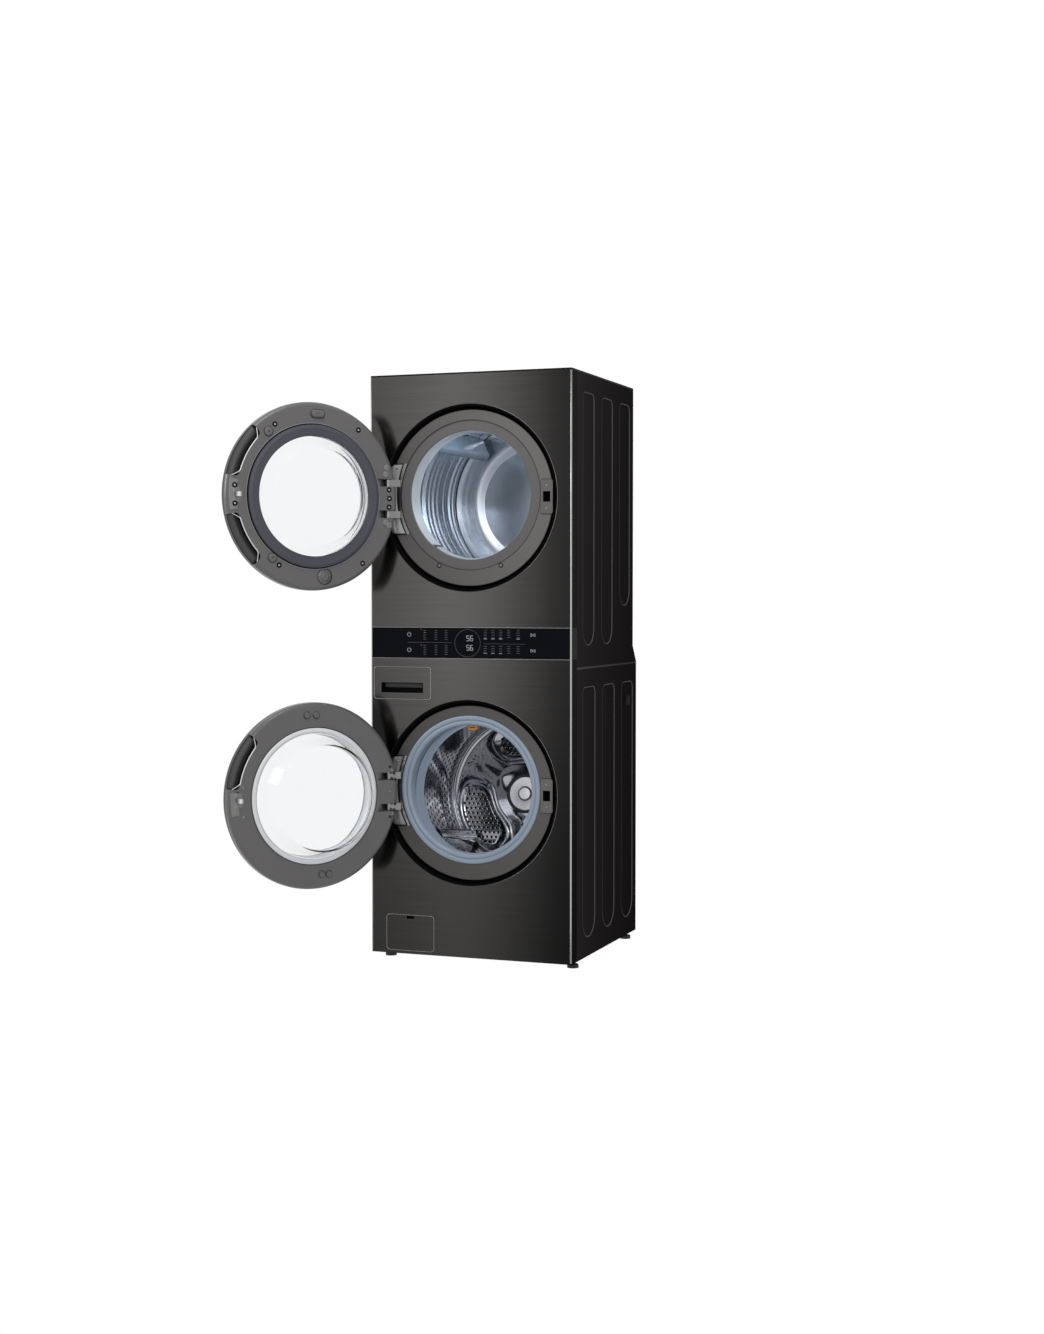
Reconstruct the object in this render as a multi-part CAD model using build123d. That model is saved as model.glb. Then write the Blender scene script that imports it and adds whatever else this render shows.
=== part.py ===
"""A one-piece laundry tower: a front-loading washer below, a dryer above, both doors open."""
from build123d import *
import math
import os

# Cabinet: x to the right, depth measured back from the front plane, z up from the floor
WIDTH = 686.0
WASHER_DEPTH = 690.0
REAR_STEP = 40.0
FLOOR_GAP = 26.0
WASHER_FACE = 956.5
STRIP_TALL = 98.5
DRYER_FACE = 803.0
SEAM_DROP = 29.0
SHEET = 1.2
REVEAL = 0.4
FLANGE = 52.0
CORNER_R = 6.0
TOP_LIP = 5.0
SIDE_RETURN = 15.0
PAN_WALL = 40.0
PAN_FLOOR = 2.0
SKIRT_RISE = 58.5
SKIRT_FOOT = 3.5
DECK_LIFT = 2.0
DECK_T = 1.5
DECK_RIM = 18.0
BACK_DISH_R = 230.0

# Stiffening pockets pressed into the side panels
POCKETS = 3
POCKET_RIB = 74.0
POCKET_SHIFT = 10.0
POCKET_PRESS = 4.0
POCKET_SLOPE = 45.0
POCKET_TOP_R = 26.0
WASHER_POCKET_INSET = 60.0
DRYER_POCKET_INSET = 61.0
DRYER_POCKET_FOOT = 69.5
DRYER_REAR_FOOT = 194.5

# Control strip
GLASS_STRIP = 3.0
BOARD_W = 520.0
BOARD_MARGIN = 14.0
BOARD_T = 1.6
BOARD_STANDOFF = 9.0
POST_R = 4.0

# Door rings on the front: where their centres lie, and the mouths behind them
WASHER_RING_DROP = 428.5
DRYER_RING_RISE = 9.5
WASHER_MOUTH_RISE = 10.0
DRYER_MOUTH_RISE = 9.0
WASHER_MOUTH_COVER = 56.0
DRYER_MOUTH_COVER = 58.0
LIP_REACH = 4.0
LIP_T = 1.6
RING_WALL = 2.0
RING_STEP = 6.4
GROOVE_W = 10.6
GROOVE_DEPTH = 24.0
FACE_DEPTH = 6.0

# Doors, built closed and then swung open
DOOR_R = 294.0
DOOR_GAP = 3.0
DOOR_THICK = 46.0
DOOR_EDGE_R = 14.0
DOOR_SKIN = 3.0
DOOR_SPLIT = 29.0
WINDOW_RIM = 94.0
WINDOW_T = 4.0
WINDOW_CROWN = 6.0
WINDOW_SEAT = 2.0
LEDGE = 10.0
OPEN_ANGLE = 128.5
WASHER_GLASS_RIM = 79.0
WASHER_SHOULDER = 18.0
WASHER_BOWL_SLOPE = 32.0
WASHER_BOWL_D = 78.0
DRYER_GLASS_RIM = 71.0
DRYER_SHOULDER = 40.0
DRYER_BOWL_SLOPE = 33.0
DRYER_BOWL_D = 34.0
SEAL_CLEAR = 4.0
GLASS_T = 4.0
BOWL_CROWN = 5.0
BOWL_EDGE_R = 20.0
GLASS_GAP = 0.3
PULL_REACH = 36.0
PULL_CORNER_R = 14.0
WASHER_PULLS = ((7.0, 43.0),)
DRYER_PULLS = ((12.0, 47.0), (-47.0, -12.0))

# Door hinge: two fixed arms with eyes, a pin in the door
HINGE_INSET = 24.0
ARM_PITCH = 100.0
ARM_TALL = 22.0
ARM_GAP = 1.3
EYE_R = 9.0
PIN_R = 4.0
PIN_FIT = 0.08
EAR_T = 4.0
EAR_R = 8.0
EAR_GAP = 0.5
HINGE_PLATE_W = 42.0
HINGE_PLATE_TALL = 226.0
HINGE_PLATE_T = 3.0
ARM_ROOT = 13.0
ARM_FORWARD = 7.0

# Door latch: a hook on the door and a pocket in the ring
LATCH_CLEAR = 21.0
LATCH_SLOT_W = 24.0
LATCH_SLOT_TALL = 33.0
LATCH_PLATE_W = 40.0
LATCH_PLATE_TALL = 107.0
LATCH_WALL = 2.5
LATCH_DEPTH = 36.0
HOOK_W = 12.0
HOOK_TALL = 14.0
HOOK_REACH = 25.0
HOOK_BASE_TALL = 46.0

# Detergent drawer and its housing
DRAWER_INSET = 14.0
DRAWER_W = 193.0
DRAWER_TALL = 98.5
DRAWER_BELOW_STRIP = 31.5
DRAWER_R = 6.0
DRAWER_GAP = 1.5
DRAWER_FRONT_T = 18.0
DRAWER_LENGTH = 296.0
GRIP_W = 146.0
GRIP_TALL = 32.8
GRIP_FOOT = 18.0
GRIP_INSET = 23.0
GRIP_DEEP = 14.0
GRIP_SKIN = 4.0
GRIP_UNDERCUT = 13.0
TRAY_WALL = 2.0
TRAY_INSET = 6.0
TRAY_TALL = 66.0
CUP_SPLIT = 0.56
RUNNER_GAP = 0.4
HOUSING_WALL = 2.5

# Filter flap, plug and drain pump
FLAP_INSET = 56.0
FLAP_W = 161.5
FLAP_TALL = 112.0
FLAP_LIFT = 12.5
FLAP_R = 10.0
FLAP_FOOT_R = 1.0
FLAP_T = 3.0
FLAP_GAP = 1.5
FLAP_PIN_R = 2.0
FLAP_AXIS_RISE = 5.0
FLAP_AXIS_D = 4.5
FLAP_LUG = 10.0
FLAP_TAB = 3.0
NOTCH_W = 25.4
NOTCH_TALL = 9.0
NOTCH_DROP = 1.5
PLUG_R = 26.0
PLUG_HEAD_R = 33.0
PLUG_FRONT = 14.0
PLUG_HEAD_T = 26.0
PLUG_BASKET = 66.0
PUMP_TUBE_WALL = 4.0
PUMP_TUBE = 90.0
VOLUTE_R = 48.0
VOLUTE_T = 58.0
PUMP_MOTOR_R = 34.0
PUMP_MOTOR_T = 70.0
DRAIN_PIPE_R = 11.0
DRAIN_HOSE_R = 13.0
DRAIN_PIPE_WALL = 1.8
DRAIN_SHIFT = 44.0
DRAIN_RISE = 36.0
PORT_REACH = 26.0

# Water inlet valve with two threaded ports
VALVE_X = 100.0
VALVE_PITCH = 60.0
VALVE_DROP = 55.5
VALVE_PORT_R = 13.2
VALVE_BORE_R = 9.0
VALVE_BODY_R = 20.0
VALVE_BODY_T = 44.0
PORT_CLEAR = 1.0

# Washer tub and drum on their tilted axis
TUB_TILT = 7.6
TUB_START = 60.0
TUB_CLEAR = 19.0
TUB_WALL = 4.0
TUB_SHOULDER = 67.0
TUB_LIP = 28.0
TUB_FACE = 76.0
TUB_SPLIT = 190.0
TUB_FLANGE = 10.0
TUB_BACK_ROOM = 28.0
DRUM_R = 273.0
DRUM_WALL = 1.0
DRUM_FRONT = 90.0
DRUM_SHOULDER = 43.0
MOTOR_ROOM = 165.6
HUB_RISE = 8.0
HUB_R = 56.0
HUB_CAP_R = 20.0
STUB_R = 21.6
SHAFT_R = 17.5
SPIDER_R = 45.0
SPIDER_T = 24.0
SPIDER_ARM_W = 46.0
SPIDER_ARM_T = 16.0
BEARING_R = 50.0
BEARING_T = 44.0
LIFTERS = 3
LIFTER_TALL = 50.0
LIFTER_BASE = 80.0
LIFTER_TOP = 36.0
LIFTER_END_GAP = 36.0
LIFTER_TURN = 20.0
STATOR_R = 125.0
STATOR_T = 30.0
STATOR_POLES = 24
POLE_LENGTH = 26.0
AIR_GAP = 2.0
ROTOR_WALL = 8.0
ROTOR_DISC = 4.0
WEIGHT_W = 52.0
WEIGHT_T = 32.0
WEIGHT_ARC = 84.0
WEIGHT_TURNS = (90.0, -90.0)
SPRING_X = 205.0
SPRING_D = 430.0
SPRING_FOOT_DROP = 163.5
SPRING_TOP_DROP = 15.5
SPRING_R = 18.0
SPRING_BORE_R = 14.0
BOSS_R = 14.0
DAMPER_D = 330.0
DAMPER_TOP_X = 185.0
DAMPER_TOP_DROP = 302.0
DAMPER_FOOT_X = 262.0
DAMPER_FOOT_RISE = 64.0
DAMPER_R = 17.0
ROD_R = 6.0
ROD_SHARE = 0.45
GASKET_WALL = 3.5
GASKET_LIP_W = 33.5
GASKET_FRONT = 4.5
GASKET_SLEEVE = 40.0
GASKET_SEAT = 14.0

# Dryer drum, bulkheads and air path
OPENING_FLANGE = 31.5
BULKHEAD_T = 1.6
SLEEVE_T = 2.0
SLEEVE_END = 84.0
BULKHEAD_D = 60.0
BULKHEAD_FOOT_DROP = 325.0
BULKHEAD_TOP_GAP = 30.0
DRYER_DRUM_R = 287.2
DRYER_DRUM_FRONT = 66.0
DRYER_DRUM_ROOM = 6.5
DRYER_BACK_ROOM = 50.0
DRUM_END_GAP = 10.0
BEADS = 3
BEAD_W = 26.0
BEAD_TALL = 5.0
REAR_LIP_R = 281.0
DISH_R = 222.0
DISH_DEEP = 11.0
BAFFLES = 3
BAFFLE_TALL = 62.0
BAFFLE_BASE = 70.0
BAFFLE_TOP = 26.0
BAFFLE_END_GAP = 34.0
BAFFLE_TURN = -15.0
RUN_GAP = 0.3
ROLLER_R = 24.0
ROLLER_T = 18.0
ROLLER_AXLE_R = 5.0
ROLLER_FIT = 0.06
ROLLER_ANGLE = 38.0
ROLLER_SETBACK = 16.0
HEATER_W = 200.0
HEATER_TALL = 300.0
HEATER_WALL = 1.5
MOTOR_X = 150.0
MOTOR_RISE = 106.5
MOTOR_R = 60.0
MOTOR_FRONT = 208.0
MOTOR_LENGTH = 112.0
MOTOR_SHAFT_R = 6.0
SHAFT_FIT = 0.08
PULLEY_R = 12.0
BELT_D = 332.0
BELT_W = 12.0
BELT_T = 2.2
PULLEY_MARGIN = 4.0
BLOWER_R = 92.0
BLOWER_FRONT = 104.0
BLOWER_LENGTH = 90.0
BLOWER_WALL = 2.0
WHEEL_R = 78.0
WHEEL_T = 60.0
WHEEL_WALL = 2.0
WHEEL_BLADES = 12
INLET_R = 60.0
DUCT_X = -160.0
DUCT_RISE = 124.5
DUCT_R = 50.8
DUCT_WALL = 0.8
LINT_W = 236.0
LINT_D = 34.0
LINT_DUCT_D = 25.0
LINT_FOOT_DROP = 359.0
LINT_T = 12.0
LINT_BAND_T = 4.0
LINT_BAND_D0 = 22.0
LINT_BAND_D1 = 63.0
LINT_BAND_ANGLE = 36.0
LINT_SLOT_GAP = 1.5
DUCT_WALL_T = 2.0

# Levelling feet
FOOT_INSET_X = 27.0
FOOT_INSET_D = 95.0
FOOT_REAR_INSET = 35.0
PAD_R = 18.5
PAD_T = 12.0
STUD_R = 6.0
STUD_TALL = 56.0
STUD_FIT = 0.1
FOOT_BOSS_R = 15.0
FOOT_BOSS_TALL = 24.0

# Values worked out from the sizes above
FRONT = -WASHER_DEPTH / 2
HALF = WIDTH / 2
INNER = HALF - SHEET - REVEAL
DRYER_DEPTH = WASHER_DEPTH - REAR_STEP
STRIP_Z0 = FLOOR_GAP + WASHER_FACE
STRIP_Z1 = STRIP_Z0 + STRIP_TALL
SEAM_Z = STRIP_Z0 - SEAM_DROP
PANEL_TOP = STRIP_Z1 + DRYER_FACE
HEIGHT = PANEL_TOP + TOP_LIP
WASHER_RING_Z = STRIP_Z0 - WASHER_RING_DROP
DRYER_RING_Z = STRIP_Z1 + DRYER_FACE / 2 + DRYER_RING_RISE
RIM_R = DOOR_R + LIP_REACH
WASHER_MOUTH_R = DOOR_R - WASHER_MOUTH_COVER
DRYER_MOUTH_R = DOOR_R - DRYER_MOUTH_COVER
WINDOW_R = DOOR_R - WINDOW_RIM
WASHER_GLASS_R = DOOR_R - WASHER_GLASS_RIM
WASHER_SHOULDER_R = WASHER_GLASS_R - WASHER_SHOULDER
WASHER_BOWL_R = WASHER_SHOULDER_R - WASHER_BOWL_SLOPE
DRYER_GLASS_R = DOOR_R - DRYER_GLASS_RIM
DRYER_SHOULDER_R = DRYER_GLASS_R - DRYER_SHOULDER
DRYER_BOWL_R = DRYER_SHOULDER_R - DRYER_BOWL_SLOPE
DRYER_SEAL_R = DRYER_SHOULDER_R + SEAL_CLEAR
PULL_R = DOOR_R - PULL_REACH
LATCH_R = WASHER_MOUTH_R + LATCH_CLEAR
GASKET_LIP_R = WASHER_MOUTH_R - GASKET_LIP_W
OPENING_R = DRYER_MOUTH_R - OPENING_FLANGE
DRYER_DRUM_MOUTH = OPENING_R + DRYER_DRUM_ROOM
RING_BODY_R = RIM_R - RING_STEP
FACE_R = RING_BODY_R - RING_WALL - GROOVE_W
FACE_BACK = FACE_DEPTH + RING_WALL
WASHER_MOUTH_Z = WASHER_RING_Z + WASHER_MOUTH_RISE
DRYER_MOUTH_Z = DRYER_RING_Z + DRYER_MOUTH_RISE
DOOR_BACK = -DOOR_GAP
DOOR_FRONT = -DOOR_GAP - DOOR_THICK
SPLIT_D = DOOR_FRONT + DOOR_SPLIT
HINGE_X = -(DOOR_R - HINGE_INSET)
HINGE_D = DOOR_BACK - DOOR_THICK / 2
COS_TILT = math.cos(math.radians(TUB_TILT))
DRUM_BACK = (WASHER_DEPTH - TUB_START) / COS_TILT - MOTOR_ROOM
TUB_BACK = DRUM_BACK + TUB_BACK_ROOM
REAR_PLATE_D = DRYER_DEPTH - DRYER_BACK_ROOM
DRYER_DRUM_END = REAR_PLATE_D - DRUM_END_GAP
DRAWER_X0 = -HALF + DRAWER_INSET
DRAWER_Z1 = STRIP_Z0 - DRAWER_BELOW_STRIP
DRAWER_Z0 = DRAWER_Z1 - DRAWER_TALL
FLAP_X = -HALF + FLAP_INSET + FLAP_W / 2
FLAP_Z0 = FLOOR_GAP + FLAP_LIFT
FLAP_Z = FLAP_Z0 + FLAP_TALL / 2
DECK_Z = SEAM_Z + DECK_LIFT
DRAIN_X = FLAP_X + DRAIN_SHIFT
DRAIN_Z = FLOOR_GAP + DRAIN_RISE
VALVE_Z = SEAM_Z - VALVE_DROP
TUB_R = DRUM_R + TUB_CLEAR
TUB_MOUTH_R = TUB_R - TUB_SHOULDER
DRUM_MOUTH_R = DRUM_R - DRUM_SHOULDER
WEIGHT_R = TUB_R - TUB_WALL - WEIGHT_W
SPRING_FOOT_Z = SEAM_Z - SPRING_FOOT_DROP
SPRING_TOP_Z = SEAM_Z - SPRING_TOP_DROP
DAMPER_TOP_Z = WASHER_MOUTH_Z - DAMPER_TOP_DROP
DAMPER_FOOT_Z = FLOOR_GAP + DAMPER_FOOT_RISE
BULKHEAD_FOOT_Z = DRYER_MOUTH_Z - BULKHEAD_FOOT_DROP
LINT_FOOT_Z = DRYER_MOUTH_Z - LINT_FOOT_DROP
MOTOR_Z = DECK_Z + MOTOR_RISE
DUCT_Z = DECK_Z + DUCT_RISE

WASHER_DRUM_FRAME = Plane(
    origin=(0, FRONT + TUB_START, WASHER_MOUTH_Z),
    x_dir=(1, 0, 0),
    z_dir=(0, COS_TILT, -math.sin(math.radians(TUB_TILT))),
)


def facing_back(z):
    """A frame on the front plane at one height, whose own z runs back into the cabinet."""
    return Plane(origin=(0, FRONT, z), x_dir=(1, 0, 0), z_dir=(0, 1, 0))


def block(x0, x1, d0, d1, z0, z1):
    """A box between two x values, two depths and two heights."""
    middle = Pos((x0 + x1) / 2, FRONT + (d0 + d1) / 2, (z0 + z1) / 2)
    return middle * Box(x1 - x0, d1 - d0, z1 - z0)


def slab(outline, d0, d1):
    """An outline in x and z, given thickness between two depths."""
    seat = Plane(origin=(0, FRONT + d1, 0), x_dir=(1, 0, 0), z_dir=(0, -1, 0))
    return extrude(seat * outline, amount=d1 - d0)


def tower(outline, z0, z1):
    """An outline in x and y, given height between two levels."""
    return extrude(Pos(0, 0, z0) * outline, amount=z1 - z0)


def wall(outline, x0, x1):
    """An outline in depth and z, given thickness between two x values."""
    seat = Plane(origin=(x0, FRONT, 0), x_dir=(0, 1, 0), z_dir=(1, 0, 0))
    return extrude(seat * outline, amount=x1 - x0)


def rod(x, z, radius, d0, d1):
    """A round bar along the depth."""
    return Pos(x, FRONT + (d0 + d1) / 2, z) * Rot(90, 0, 0) * Cylinder(radius, d1 - d0)


def post(x, depth, radius, z0, z1):
    """A round upright bar."""
    return Pos(x, FRONT + depth, (z0 + z1) / 2) * Cylinder(radius, z1 - z0)


def turned(frame, corners, radii=None):
    """A solid of revolution about a frame's z, from (radius, distance) corners and their fillets."""
    path = Polyline(*corners, close=True)
    if radii:
        path = FilletPolyline(*corners, radius=radii, close=True)
    return frame.location * revolve(Plane.XZ * make_face(path), Axis.Z)


def tube(frame, inner_r, outer_r, start, stop):
    """A plain tube about a frame's z."""
    return turned(frame, [(inner_r, start), (outer_r, start), (outer_r, stop), (inner_r, stop)])


def sector(inner_r, outer_r, start, stop):
    """A flat ring sector between two angles in degrees."""
    reach = 2 * outer_r
    angles = (math.radians(start), math.radians((start + stop) / 2), math.radians(stop))
    rays = [(reach * math.cos(a), reach * math.sin(a)) for a in angles]
    wedge = make_face(Polyline((0, 0), *rays, close=True))
    return (Circle(outer_r) - Circle(inner_r)) & wedge


def bar_between(start, end, radius):
    """A round bar from one point to another."""
    line = Line(start, end)
    return extrude(Plane(origin=start, z_dir=line @ 1 - line @ 0) * Circle(radius), amount=line.length)


def both_sides(shape):
    """A shape and its mirror image about the middle plane."""
    return [shape, mirror(shape, Plane.YZ)]


def pressed_side(outline, depth, foot_levels, top, lip_foot):
    """A right-hand side panel with pressed-in pockets and a turned-in front edge."""
    panel = wall(outline, HALF - SHEET, HALF)
    pitch = (depth - FLANGE) / (POCKETS + 0.1)
    width = pitch - POCKET_RIB
    middle = (FLANGE + depth) / 2 + POCKET_SHIFT
    for i, foot in enumerate(foot_levels):
        centre = middle + (i - (POCKETS - 1) / 2) * pitch
        left, right = centre - width / 2, centre + width / 2
        corners = [(left, foot), (right, foot), (right, top), (left, top)]
        rounds = [width * 0.49, width * 0.49, POCKET_TOP_R, POCKET_TOP_R]
        pocket = make_face(FilletPolyline(*corners, radius=rounds, close=True))
        seat = Plane(origin=(HALF, FRONT, 0), x_dir=(0, 1, 0), z_dir=(1, 0, 0))
        back = Plane(origin=(HALF - SHEET, FRONT, 0), x_dir=(0, 1, 0), z_dir=(1, 0, 0))
        panel += extrude(back * pocket, amount=-POCKET_PRESS, taper=POCKET_SLOPE)
        panel -= extrude(seat * pocket, amount=-POCKET_PRESS, taper=POCKET_SLOPE)
    front = FLANGE + REVEAL
    lip_top = outline.bounding_box().max.Y
    return panel + block(HALF - SIDE_RETURN, HALF, front, front + SHEET, lip_foot, lip_top)


def washer_side_panels():
    """The two lower side panels."""
    front = FLANGE + REVEAL
    top = SEAM_Z - REVEAL
    corners = [(front, FLOOR_GAP), (WASHER_DEPTH, FLOOR_GAP), (WASHER_DEPTH, top), (front, top)]
    outline = make_face(Polyline(*corners, close=True))
    feet = [FLOOR_GAP + WASHER_POCKET_INSET] * POCKETS
    lip_foot = FLOOR_GAP + PAN_WALL + REVEAL
    return both_sides(pressed_side(outline, WASHER_DEPTH, feet, SEAM_Z - WASHER_POCKET_INSET, lip_foot))


def dryer_side_panels():
    """The two upper side panels, with the skirt that slopes out to the washer's depth."""
    front = FLANGE + REVEAL
    corners = [
        (front, SEAM_Z),
        (WASHER_DEPTH, SEAM_Z),
        (WASHER_DEPTH, SEAM_Z + SKIRT_FOOT),
        (DRYER_DEPTH, SEAM_Z + SKIRT_RISE),
        (DRYER_DEPTH, PANEL_TOP),
        (front, PANEL_TOP),
    ]
    outline = make_face(Polyline(*corners, close=True))
    feet = [SEAM_Z + DRYER_POCKET_FOOT] * (POCKETS - 1) + [SEAM_Z + DRYER_REAR_FOOT]
    return both_sides(pressed_side(outline, DRYER_DEPTH, feet, HEIGHT - DRYER_POCKET_INSET, SEAM_Z))


def base_pan():
    """The floor pan, with threaded bosses for the feet and seats for the dampers."""
    d0, d1 = SHEET + REVEAL, WASHER_DEPTH - SHEET - REVEAL
    outline = Pos(0, FRONT + (d0 + d1) / 2) * RectangleRounded(2 * INNER, d1 - d0, CORNER_R)
    pan = tower(outline, FLOOR_GAP, FLOOR_GAP + PAN_WALL)
    pan -= tower(offset(outline, -PAN_FLOOR), FLOOR_GAP + PAN_FLOOR, FLOOR_GAP + 2 * PAN_WALL)
    mouth_half = FLAP_W / 2 + FLAP_LUG + FLAP_TAB
    pan -= block(FLAP_X - mouth_half, FLAP_X + mouth_half, 0, d0 + 2 * PAN_FLOOR,
                 FLOOR_GAP + PAN_FLOOR, FLOOR_GAP + 2 * PAN_WALL)
    pan -= rod(DRAIN_X, DRAIN_Z, DRAIN_PIPE_R + PORT_CLEAR, d1 - 2 * PAN_FLOOR, d1 + PAN_FLOOR)
    for x, depth in foot_places():
        pan += post(x, depth, FOOT_BOSS_R, FLOOR_GAP, FLOOR_GAP + FOOT_BOSS_TALL)
        pan -= post(x, depth, STUD_R + STUD_FIT, FLOOR_GAP - 1, FLOOR_GAP + 2 * FOOT_BOSS_TALL)
    below = block(-HALF, HALF, 0, WASHER_DEPTH, FLOOR_GAP - 4 * PAN_WALL, FLOOR_GAP + PAN_FLOOR / 2)
    for side in (-1, 1):
        top, foot = damper_ends(side)
        reach = foot + (foot - top).normalized() * PAN_WALL * 2
        pan += bar_between(foot, reach, BOSS_R) - below
    return pan


def foot_places():
    """Where the four feet stand, as (x, depth)."""
    x = HALF - FOOT_INSET_X
    depths = (FOOT_INSET_D, WASHER_DEPTH - FOOT_REAR_INSET)
    return [(side * x, depth) for depth in depths for side in (-1, 1)]


def levelling_foot(x, depth):
    """A rubber-soled pad on a threaded stud."""
    pad = post(x, depth, PAD_R, 0, PAD_T)
    pad = fillet(pad.edges().group_by(Axis.Z)[-1], PAD_T / 3)
    return pad + post(x, depth, STUD_R, PAD_T - 1, STUD_TALL)


def damper_ends(side):
    """Where a damper meets the tub and the floor pan."""
    top = Vector(side * DAMPER_TOP_X, FRONT + DAMPER_D, DAMPER_TOP_Z)
    foot = Vector(side * DAMPER_FOOT_X, FRONT + DAMPER_D, DAMPER_FOOT_Z)
    return top, foot


def washer_back_panel():
    """The lower back panel, with a round pressed dish behind the motor and holes for the ports."""
    d0, d1 = WASHER_DEPTH - SHEET, WASHER_DEPTH
    panel = block(-INNER, INNER, d0, d1, FLOOR_GAP, SEAM_Z - REVEAL)
    dish_z = WASHER_RING_Z - 2 * PAN_WALL
    panel += rod(0, dish_z, BACK_DISH_R, d0 - POCKET_PRESS, d0)
    panel -= rod(0, dish_z, BACK_DISH_R - SHEET, d0 - POCKET_PRESS + SHEET, d1 + 1)
    for x in valve_ports():
        panel -= rod(x, VALVE_Z, VALVE_PORT_R + PORT_CLEAR, d0 - 1, d1 + 1)
    return panel - rod(DRAIN_X, DRAIN_Z, DRAIN_PIPE_R + PORT_CLEAR, d0 - 1, d1 + 1)


def dryer_back_panel():
    """The upper back panel: an upright sheet and the sloping skirt below it."""
    slope = SKIRT_RISE
    corners = [
        (WASHER_DEPTH, SEAM_Z + SKIRT_FOOT),
        (DRYER_DEPTH, SEAM_Z + slope),
        (DRYER_DEPTH, PANEL_TOP),
        (DRYER_DEPTH - SHEET, PANEL_TOP),
        (DRYER_DEPTH - SHEET, SEAM_Z + slope - SHEET / 2),
        (WASHER_DEPTH - 2 * SHEET, SEAM_Z + SKIRT_FOOT),
    ]
    panel = wall(make_face(Polyline(*corners, close=True)), -INNER, INNER)
    return panel - rod(DUCT_X, DUCT_Z, DUCT_R + PORT_CLEAR, DRYER_DEPTH - 2 * SHEET, DRYER_DEPTH + 1)


def wrap_outline(thickness):
    """The plan of a sheet wrapped round the cabinet's two front corners."""
    outer = Pos(0, FRONT + FLANGE / 2) * Rectangle(WIDTH, FLANGE)
    outer = fillet(outer.vertices().group_by(Axis.Y)[0], CORNER_R)
    inner = Pos(0, FRONT + thickness + FLANGE / 2) * Rectangle(WIDTH - 2 * thickness, FLANGE)
    inner = fillet(inner.vertices().group_by(Axis.Y)[0], CORNER_R - thickness)
    return outer - inner


def drawer_opening():
    """The drawer's hole in the front panel, an outline in x and z."""
    hole = RectangleRounded(DRAWER_W + 2 * DRAWER_GAP, DRAWER_TALL + 2 * DRAWER_GAP, DRAWER_R + DRAWER_GAP)
    return Pos(DRAWER_X0 + DRAWER_W / 2, DRAWER_Z0 + DRAWER_TALL / 2) * hole


def flap_outline(grow):
    """The flap's outline in x and z, widened by a gap. Its foot is square, so it clears the sheet as it turns."""
    x0, x1 = FLAP_X - FLAP_W / 2 - grow, FLAP_X + FLAP_W / 2 + grow
    z0, z1 = FLAP_Z0 - grow, FLAP_Z0 + FLAP_TALL + grow
    corners = [(x0, z0), (x1, z0), (x1, z1), (x0, z1)]
    upper_r = FLAP_R + grow
    return make_face(FilletPolyline(*corners, radius=[FLAP_FOOT_R, FLAP_FOOT_R, upper_r, upper_r], close=True))


def washer_front_panel():
    """The lower front panel, with the flap's hinge tabs bent in behind it."""
    panel = tower(wrap_outline(SHEET), FLOOR_GAP, STRIP_Z0 - REVEAL)
    panel -= rod(0, WASHER_RING_Z, RING_BODY_R + REVEAL, -1, 2 * SHEET)
    panel -= slab(drawer_opening(), -1, 2 * SHEET)
    panel -= slab(flap_outline(FLAP_GAP), -1, 2 * SHEET)
    axis_z = FLAP_Z0 + FLAP_AXIS_RISE
    for side in (-1, 1):
        inner = FLAP_X + side * (FLAP_W / 2 + FLAP_GAP + REVEAL)
        outer = inner + side * FLAP_TAB
        x0, x1 = min(inner, outer), max(inner, outer)
        panel += block(x0, x1, SHEET / 2, 2 * FLAP_AXIS_D, axis_z - FLAP_AXIS_D, axis_z + FLAP_LUG)
        hole_bar = Pos((x0 + x1) / 2, FRONT + FLAP_AXIS_D, axis_z) * Rot(0, 90, 0)
        panel -= hole_bar * Cylinder(FLAP_PIN_R + PIN_FIT, 3 * FLAP_TAB)
    return panel


def dryer_front_panel():
    """The upper front panel."""
    panel = tower(wrap_outline(SHEET), STRIP_Z1 + REVEAL, PANEL_TOP)
    return panel - rod(0, DRYER_RING_Z, RING_BODY_R + REVEAL, -1, 2 * SHEET)


def control_fascia():
    """The dark glass strip between the two panels, with posts for the board."""
    fascia = tower(wrap_outline(GLASS_STRIP), STRIP_Z0, STRIP_Z1)
    for x in (-BOARD_W / 2 + BOARD_MARGIN, 0, BOARD_W / 2 - BOARD_MARGIN):
        for z in (STRIP_Z0 + 2 * BOARD_MARGIN, STRIP_Z1 - 2 * BOARD_MARGIN):
            fascia += rod(x, z, POST_R, GLASS_STRIP / 2, GLASS_STRIP + BOARD_STANDOFF)
    return fascia


def control_board():
    """The printed circuit board behind the strip, with its display block and capacitors."""
    d0 = GLASS_STRIP + BOARD_STANDOFF
    d1 = d0 + BOARD_T
    z0, z1 = STRIP_Z0 + BOARD_MARGIN, STRIP_Z1 - BOARD_MARGIN
    board = block(-BOARD_W / 2, BOARD_W / 2, d0, d1, z0, z1)
    middle = (z0 + z1) / 2
    board += block(-BOARD_W / 6, -BOARD_W / 12, d1 - BOARD_T / 2, d1 + BOARD_MARGIN,
                   middle - BOARD_MARGIN, middle + BOARD_MARGIN)
    for i in range(4):
        board += rod(BOARD_W / 12 * (i + 1), middle, BOARD_T * 4, d1 - BOARD_T / 2, d1 + BOARD_MARGIN)
    return board


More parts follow.
